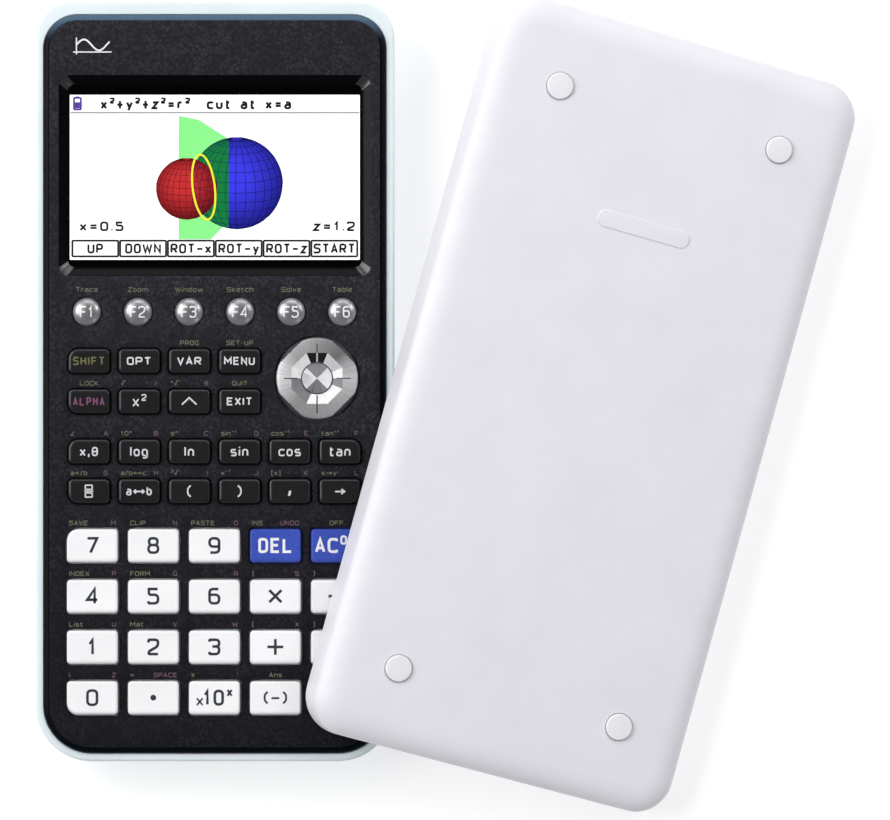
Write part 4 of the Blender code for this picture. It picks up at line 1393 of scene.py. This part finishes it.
def make_picture(base):
    """What the display shows: two plotted balls cut by a plane, with a line of keys below."""
    x0 = DISPLAY_MIDDLE.x
    left, right = x0 - SCREEN_WIDTH / 2, x0 + SCREEN_WIDTH / 2
    top = DISPLAY_MIDDLE.y + SCREEN_HEIGHT / 2 - 0.4
    foot = top - SCREEN_HEIGHT
    sheet = rounded(SCREEN_WIDTH, SCREEN_HEIGHT, [0.15] * 4, 2, (x0, (top + foot) / 2))
    add_flat("sheet", sheet, "sheet", base, "lit_white")

    red, red_radius = (left + 29.0, top - 23.3), 7.6
    blue, blue_radius = (left + 41.4, top - 21.9), 11.4
    plane_left, plane_right = left + 27.0, left + 39.4
    plane = [
        (plane_left, top - 35.8),
        (plane_right - 4.4, top - 35.8),
        (plane_right - 0.2, top - 31.5),
        (plane_right, top - 11.0),
        (plane_right - 7.4, top - 6.2),
        (plane_left, top - 5.2),
    ]
    add_flat("plane", plane, "plane", base, "lit_green")
    tones = (
        ("lit_blue", blue, blue_radius, linear(48, 48, 190), linear(14, 14, 84)),
        ("lit_red", red, red_radius, linear(164, 38, 40), linear(78, 8, 12)),
    )
    for name, (x, y), radius, light, dark in tones:
        MATERIALS[name] = lit_ball(name, (x - 1.0, y + 1.5, base), radius * 1.25, light, dark)
    add_flat("blue_ball", circle(blue_radius, 96, blue), "blue", base, "lit_blue")
    turns = [math.pi / 2 + math.pi * n / 96 for n in range(97)]
    arc = [(blue[0] + blue_radius * math.cos(t), blue[1] + blue_radius * math.sin(t)) for t in turns]
    half = math.sqrt(blue_radius**2 - (plane_right - blue[0]) ** 2)
    behind = [(plane_right, blue[1] + half)]
    behind += [(x, y) for x, y in arc if x < plane_right]
    behind.append((plane_right, blue[1] - half))
    add_flat("blue_behind", behind, "overlap", base, "lit_dark_green")
    add_flat("red_ball", circle(red_radius, 72, red), "red", base, "lit_red")

    low, high = base + LEVELS["red"] - 0.005, base + LEVELS["lines"]
    bm = bmesh.new()
    draw_globe(bm, blue, blue_radius, low, high)
    add_screen("blue_grid", bm, "lit_blue_line")
    bm = bmesh.new()
    draw_globe(bm, red, red_radius, low, high + 0.003)
    add_screen("red_grid", bm, "lit_red_line")

    cut = (left + 33.2, top - 22.9)
    lean = math.radians(7)
    oval = []
    for x, y in circle(1.0, 64):
        x, y = 2.75 * x, 8.1 * y
        oval.append((
            cut[0] + x * math.cos(lean) - y * math.sin(lean),
            cut[1] + x * math.sin(lean) + y * math.cos(lean),
        ))
    bm = bmesh.new()
    ribbon(bm, oval, 0.5, base, base + LEVELS["cut"], True)
    add_screen("cut", bm, "lit_yellow")

    high = base + LEVELS["words"]
    bm = bmesh.new()

    def words(text, spot, height=2.4, stroke=0.5, wide=1.0, align="left", gap=0.26):
        draw_words(bm, text, spot, height, high - SKIN, stroke, wide, align, gap)

    words("x^2+y^2+z^2=r^2  cut at x=a", (left + 7.6, top - 2.35), 2.5, 0.58, 0.82, gap=0.22)
    words("x=0.5", (left + 2.4, top - 32.6))
    words("z=1.2", (right - 1.2, top - 32.6), align="right")
    labels = ("UP", "DOWN", "ROT-x", "ROT-y", "ROT-z", "START")
    cell = (SCREEN_WIDTH - 0.8) / len(labels)
    for n, label in enumerate(labels):
        spot = (left + 0.4 + cell * (n + 0.5), foot + 2.8)
        words(label, spot, 2.5, wide=0.8, align="centre", gap=0.14)
        ribbon(bm, rounded(cell - 0.5, 3.9, [0.2] * 4, 2, spot), 0.46, base, high, True)
    add_screen("words", bm, "lit_black")

    bm = bmesh.new()
    rule = top - 4.45
    ribbon(bm, [(left + 0.2, rule), (right - 0.2, rule)], 0.28, base, base + LEVELS["lines"])
    add_screen("rule", bm, "lit_grey")
    bm = bmesh.new()
    x = left + 1.9
    ribbon(bm, rounded(1.7, 2.9, [0.25] * 4, 2, (x, top - 2.2)), 0.45, base, high, True)
    ribbon(bm, [(x - 0.6, top - 2.6), (x + 0.6, top - 2.6)], 1.5, base, high - 0.004)
    ribbon(bm, [(x - 0.4, top - 0.6), (x + 0.4, top - 0.6)], 0.4, base, high - 0.006)
    add_screen("battery", bm, "lit_purple")


def make_face_print():
    """Small print above the keys, and a plain mark of axes and a curve above the display."""
    yellow, red, white = bmesh.new(), bmesh.new(), bmesh.new()

    def small(bm, text, x, y, align="centre", size=1.15):
        draw_words(bm, text, (x, y), size, FACE_TOP, 0.17, 1.1, align)

    above_key, above_function_key = 1.5, 2.1

    for name, text in UPPER_PRINT.items():
        first, _, second = text.partition("|")
        (x, y), width, height, _, _ = key_size(name)
        side = width / 2 - 0.5
        if name in FUNCTION_KEYS:
            small(yellow, first, x, y + height / 2 + above_function_key, size=1.2)
            continue
        y += height / 2 + above_key
        if first and second:
            small(yellow, first, x - side, y, "left")
        elif first:
            small(yellow, first, x, y)
        if second:
            small(red, second, x + side, y, "right")
    where = ("calculator", "black_face")
    add_piece("print_yellow", yellow, "ink_yellow", *where)
    add_piece("print_red", red, "ink_red", *where)

    left = DISPLAY_MIDDLE.x - DISPLAY_WIDTH / 2 + 3.6
    y = (DISPLAY_MIDDLE.y + DISPLAY_HEIGHT / 2 + FACE_END) / 2 - 0.2
    x = left + 0.8
    high = FACE_TOP + SKIN
    steps = 48
    wave = [
        (x + 8.2 * n / steps, y + 0.15 + 1.35 * math.sin(2.2 * math.pi * n / steps))
        for n in range(steps + 1)
    ]
    ribbon(white, [(left, y - 1.6), (left + 9.5, y - 1.6)], 0.3, FACE_TOP, high)
    ribbon(white, [(x, y - 2.2), (x, y + 2.0)], 0.3, FACE_TOP, high - 0.002)
    ribbon(white, wave, 0.42, FACE_TOP, high - 0.004)
    add_piece("print_mark", white, "ink_white", *where)


# ---------------------------------------------------------------- cover


COVER_WALL = 2.4
COVER_CLEARANCE = 0.4
COVER_WIDTH = CASE_WIDTH + 2 * COVER_CLEARANCE + 2 * COVER_WALL
COVER_LENGTH = CASE_LENGTH + 0.5
COVER_RADIUS = 9.0
COVER_ROOF = 2.2
KEY_TOP = node_box("key_five")[1].z
COVER_GAP = 0.3
COVER_CEILING = KEY_TOP - GROOVE_Z - COVER_GAP + 0.5
COVER_DEPTH = COVER_CEILING + COVER_ROOF
COVER_TURN = math.radians(15.5)
COVER_STANDOFF = 1.1
COVER_Y = -5.9
RAIL_HEIGHT = 1.2
RAIL_WIDTH = 1.1
COVER_LEAN = math.asin((KEY_TOP + COVER_GAP) / (COVER_WIDTH - COVER_WALL - RAIL_WIDTH))
BADGE_PLACE = (1.0, 46.1)
BADGE_LENGTH = 24.0
BADGE_HEIGHT = 4.4
FOOT_RADIUS = 3.3
FOOT_TO_SIDE = 18.4
FOOT_TO_END = 20.3
FOOT_PLACES = [
    (across * (COVER_WIDTH / 2 - FOOT_TO_SIDE), up * (COVER_LENGTH / 2 - FOOT_TO_END))
    for across in (-1, 1)
    for up in (-1, 1)
]


def cover_place():
    """The cover's own axes: X across it, Y along it to its closed end, Z out of its roof."""
    raised = COVER_WIDTH / 2 * math.cos(COVER_LEAN) * math.cos(COVER_TURN)
    x = CASE_WIDTH / 2 + COVER_STANDOFF + raised
    z = COVER_WIDTH / 2 * math.sin(COVER_LEAN)
    turn = Matrix.Rotation(-COVER_TURN, 4, "Z") @ Matrix.Rotation(COVER_LEAN, 4, "Y")
    return Matrix.Translation((x, COVER_Y, z)) @ turn


def cover_outline(inset):
    radius = max(COVER_RADIUS + 0.8 - inset, 2.0)
    return rounded(COVER_WIDTH - 2 * inset, COVER_LENGTH - 2 * inset, [radius] * 4, 16)


def make_cover():
    """Matt white shell with wide soft shoulders, open at its lower end, with rails inside."""
    shoulder, shoulder_drop, crown = 7.0, 3.4, 0.5
    side_top = COVER_DEPTH - crown
    sections = [
        (cover_outline(0.15), 0.0),
        (cover_outline(0.0), 0.15),
        (cover_outline(0.2), (side_top - shoulder_drop) * 0.5),
    ]
    for inset, drop in quarter(12, shoulder, shoulder_drop):
        sections.append((cover_outline(0.5 + inset), side_top - drop))
    for inset in (11.0, 16.0, 22.0, 29.0, 37.0):
        share = 1 - ((COVER_WIDTH / 2 - inset) / (COVER_WIDTH / 2 - shoulder)) ** 2
        sections.append((cover_outline(inset), side_top + crown * share))

    end = COVER_LENGTH / 2
    rail = end - COVER_RADIUS  # the rails end where the round corners start
    slot = COVER_WIDTH / 2 - COVER_WALL - RAIL_WIDTH
    mouth = COVER_WIDTH / 2 - COVER_RADIUS
    hollow = cover_outline(COVER_WALL)
    cutters = [
        solid((hollow, RAIL_HEIGHT), (hollow, COVER_CEILING - 0.6)),
        block((-mouth, -end - 1, -1), (mouth, -rail, COVER_CEILING - 1.3)),
        block((-slot, -rail, -1), (slot, rail, RAIL_HEIGHT + 0.3)),
    ]
    for spot in FOOT_PLACES:
        seat = circle(FOOT_RADIUS + 0.22, 48, spot)
        cutters.append(solid((seat, COVER_DEPTH - 0.75), (seat, COVER_DEPTH + 1)))
    where = ("cover", "cover_shell")
    place = cover_place()
    shell = carve(solid(*sections), cutters)
    add_mesh("cover_shell", shell, "cover", *where, ("slide_cover",), place, 24.0)

    for number, spot in enumerate(FOOT_PLACES, 1):
        sections = [(circle(FOOT_RADIUS, 48, spot), COVER_DEPTH - 0.74)]
        for inset, drop in quarter(5, 0.35, 0.35):
            sections.append((circle(FOOT_RADIUS - inset, 48, spot), COVER_DEPTH + 0.45 - drop))
        sections.append((circle(FOOT_RADIUS * 0.5, 48, spot), COVER_DEPTH + 0.49))
        add_loft(f"cover_foot_{number}", sections, "cover_foot", *where, place=place)

    def pill(inset):
        size = (BADGE_LENGTH - 2 * inset, BADGE_HEIGHT - 2 * inset)
        return rounded(*size, [2.1 - inset] * 4, 10, BADGE_PLACE)

    sections = [(pill(0.0), COVER_DEPTH - 0.6)]
    for inset, drop in quarter(4, 0.3, 0.16):
        sections.append((pill(inset), COVER_DEPTH + 0.22 - drop))
    add_loft("cover_badge", sections, "cover", *where, place=place)


# ---------------------------------------------------------------- inner parts keep their CAD shape


def dress_inner_parts():
    inner = {
        "battery_door": "shell",
        "display_panel": "panel",
        "main_board": "board",
        "rubber_keypad": "rubber",
        "pad_carrier": "rubber",
    }
    inner.update({f"cell_{n}": "cell" for n in range(1, 5)})
    for node, material in inner.items():
        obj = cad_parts[node]
        obj.data.materials.clear()
        obj.data.materials.append(MATERIALS[material])


# ---------------------------------------------------------------- floor, light and camera

# Lights: where they stand in metres, how wide and high they are, and their power in watts
LIGHTS = {
    "west_light": ((-0.94, 0.35, 1.03), (1.1, 0.9), 18.4),
    "north_light": ((0.1, 1.15, 0.9), (1.2, 0.6), 6.8),
    "south_east_light": ((0.75, -0.85, 0.8), (0.4, 0.4), 1.0),
    "north_east_light": ((0.95, 0.55, 0.9), (0.5, 0.5), 5.0),
}
LIGHT_AIM = Vector((0.03, 0.0, 0.0))
FLOOR_SIZE = 6000.0
FLOOR_Z = -0.1  # just clear of the back
VIEW_DISTANCE = 1.3  # metres from the camera down to the height at which the view is set
VIEW_SPAN = 0.22057  # metres across the view at that height
VIEW_MIDDLE = (0.05706, -0.00713, 0.016)


def make_floor():
    bm = bmesh.new()
    bm.faces.new(ring(bm, rounded(FLOOR_SIZE, FLOOR_SIZE, [FLOOR_SIZE / 10] * 4, 12), FLOOR_Z))
    mesh = mesh_of(bm)
    mesh.transform(Matrix.Scale(TO_METRES, 4))
    look = new_look("floor_white")
    share = look.ranged(look.noise(12.0))
    material = look.surface(
        Base_Color=look.mix(share, (0.5, 0.5, 0.5, 1.0), (0.49, 0.49, 0.49, 1.0)),
        Emission_Color=(1.0, 1.0, 1.0, 1.0), Emission_Strength=0.6,
        Roughness=0.9, Specular_IOR_Level=0.0,
    )
    mesh.materials.append(material)
    add_object("floor", mesh)


def make_lights():
    for name, (place, size, power) in LIGHTS.items():
        light = bpy.data.lights.new(name, "AREA")
        light.shape = "RECTANGLE"
        light.size, light.size_y = size
        light.energy = power
        obj = add_object(name, light)
        obj.location = place
        obj.rotation_euler = (LIGHT_AIM - Vector(place)).to_track_quat("-Z", "Y").to_euler()


def make_world():
    """Even soft light from the sides, dark overhead, so that flat gloss stays dark."""
    world = bpy.data.worlds.new("studio")
    bpy.context.scene.world = world
    look = Look(world)
    toward = look.node("TexCoord").outputs["Generated"]
    up = look.node("SeparateXYZ", Vector=toward).outputs["Z"]
    height = look.ranged(up, start=0.72, stop=0.97)
    colour = look.mix(height, (0.32, 0.325, 0.345, 1.0), (0.03, 0.03, 0.035, 1.0))
    look.put_all(look.nodes["Background"], {"Color": colour, "Strength": 1.0})


def make_camera():
    """Straight above, a little right of the calculator's middle, as a long lens sees it."""
    camera = bpy.data.cameras.new("camera")
    camera.sensor_width = 36.0
    camera.lens = camera.sensor_width * VIEW_DISTANCE / VIEW_SPAN
    camera.clip_start = 0.01
    camera.clip_end = 20.0
    obj = add_object("camera", camera)
    obj.location = Vector(VIEW_MIDDLE) + Vector((0.0, 0.0, VIEW_DISTANCE))
    bpy.context.scene.camera = obj


make_case()
make_face()
make_display()
make_small_keys()
make_number_keys()
make_function_keys()
make_pad()
make_face_print()
make_cover()
dress_inner_parts()
make_floor()
make_world()
make_lights()
make_camera()
bpy.context.scene.view_settings.view_transform = "Standard"
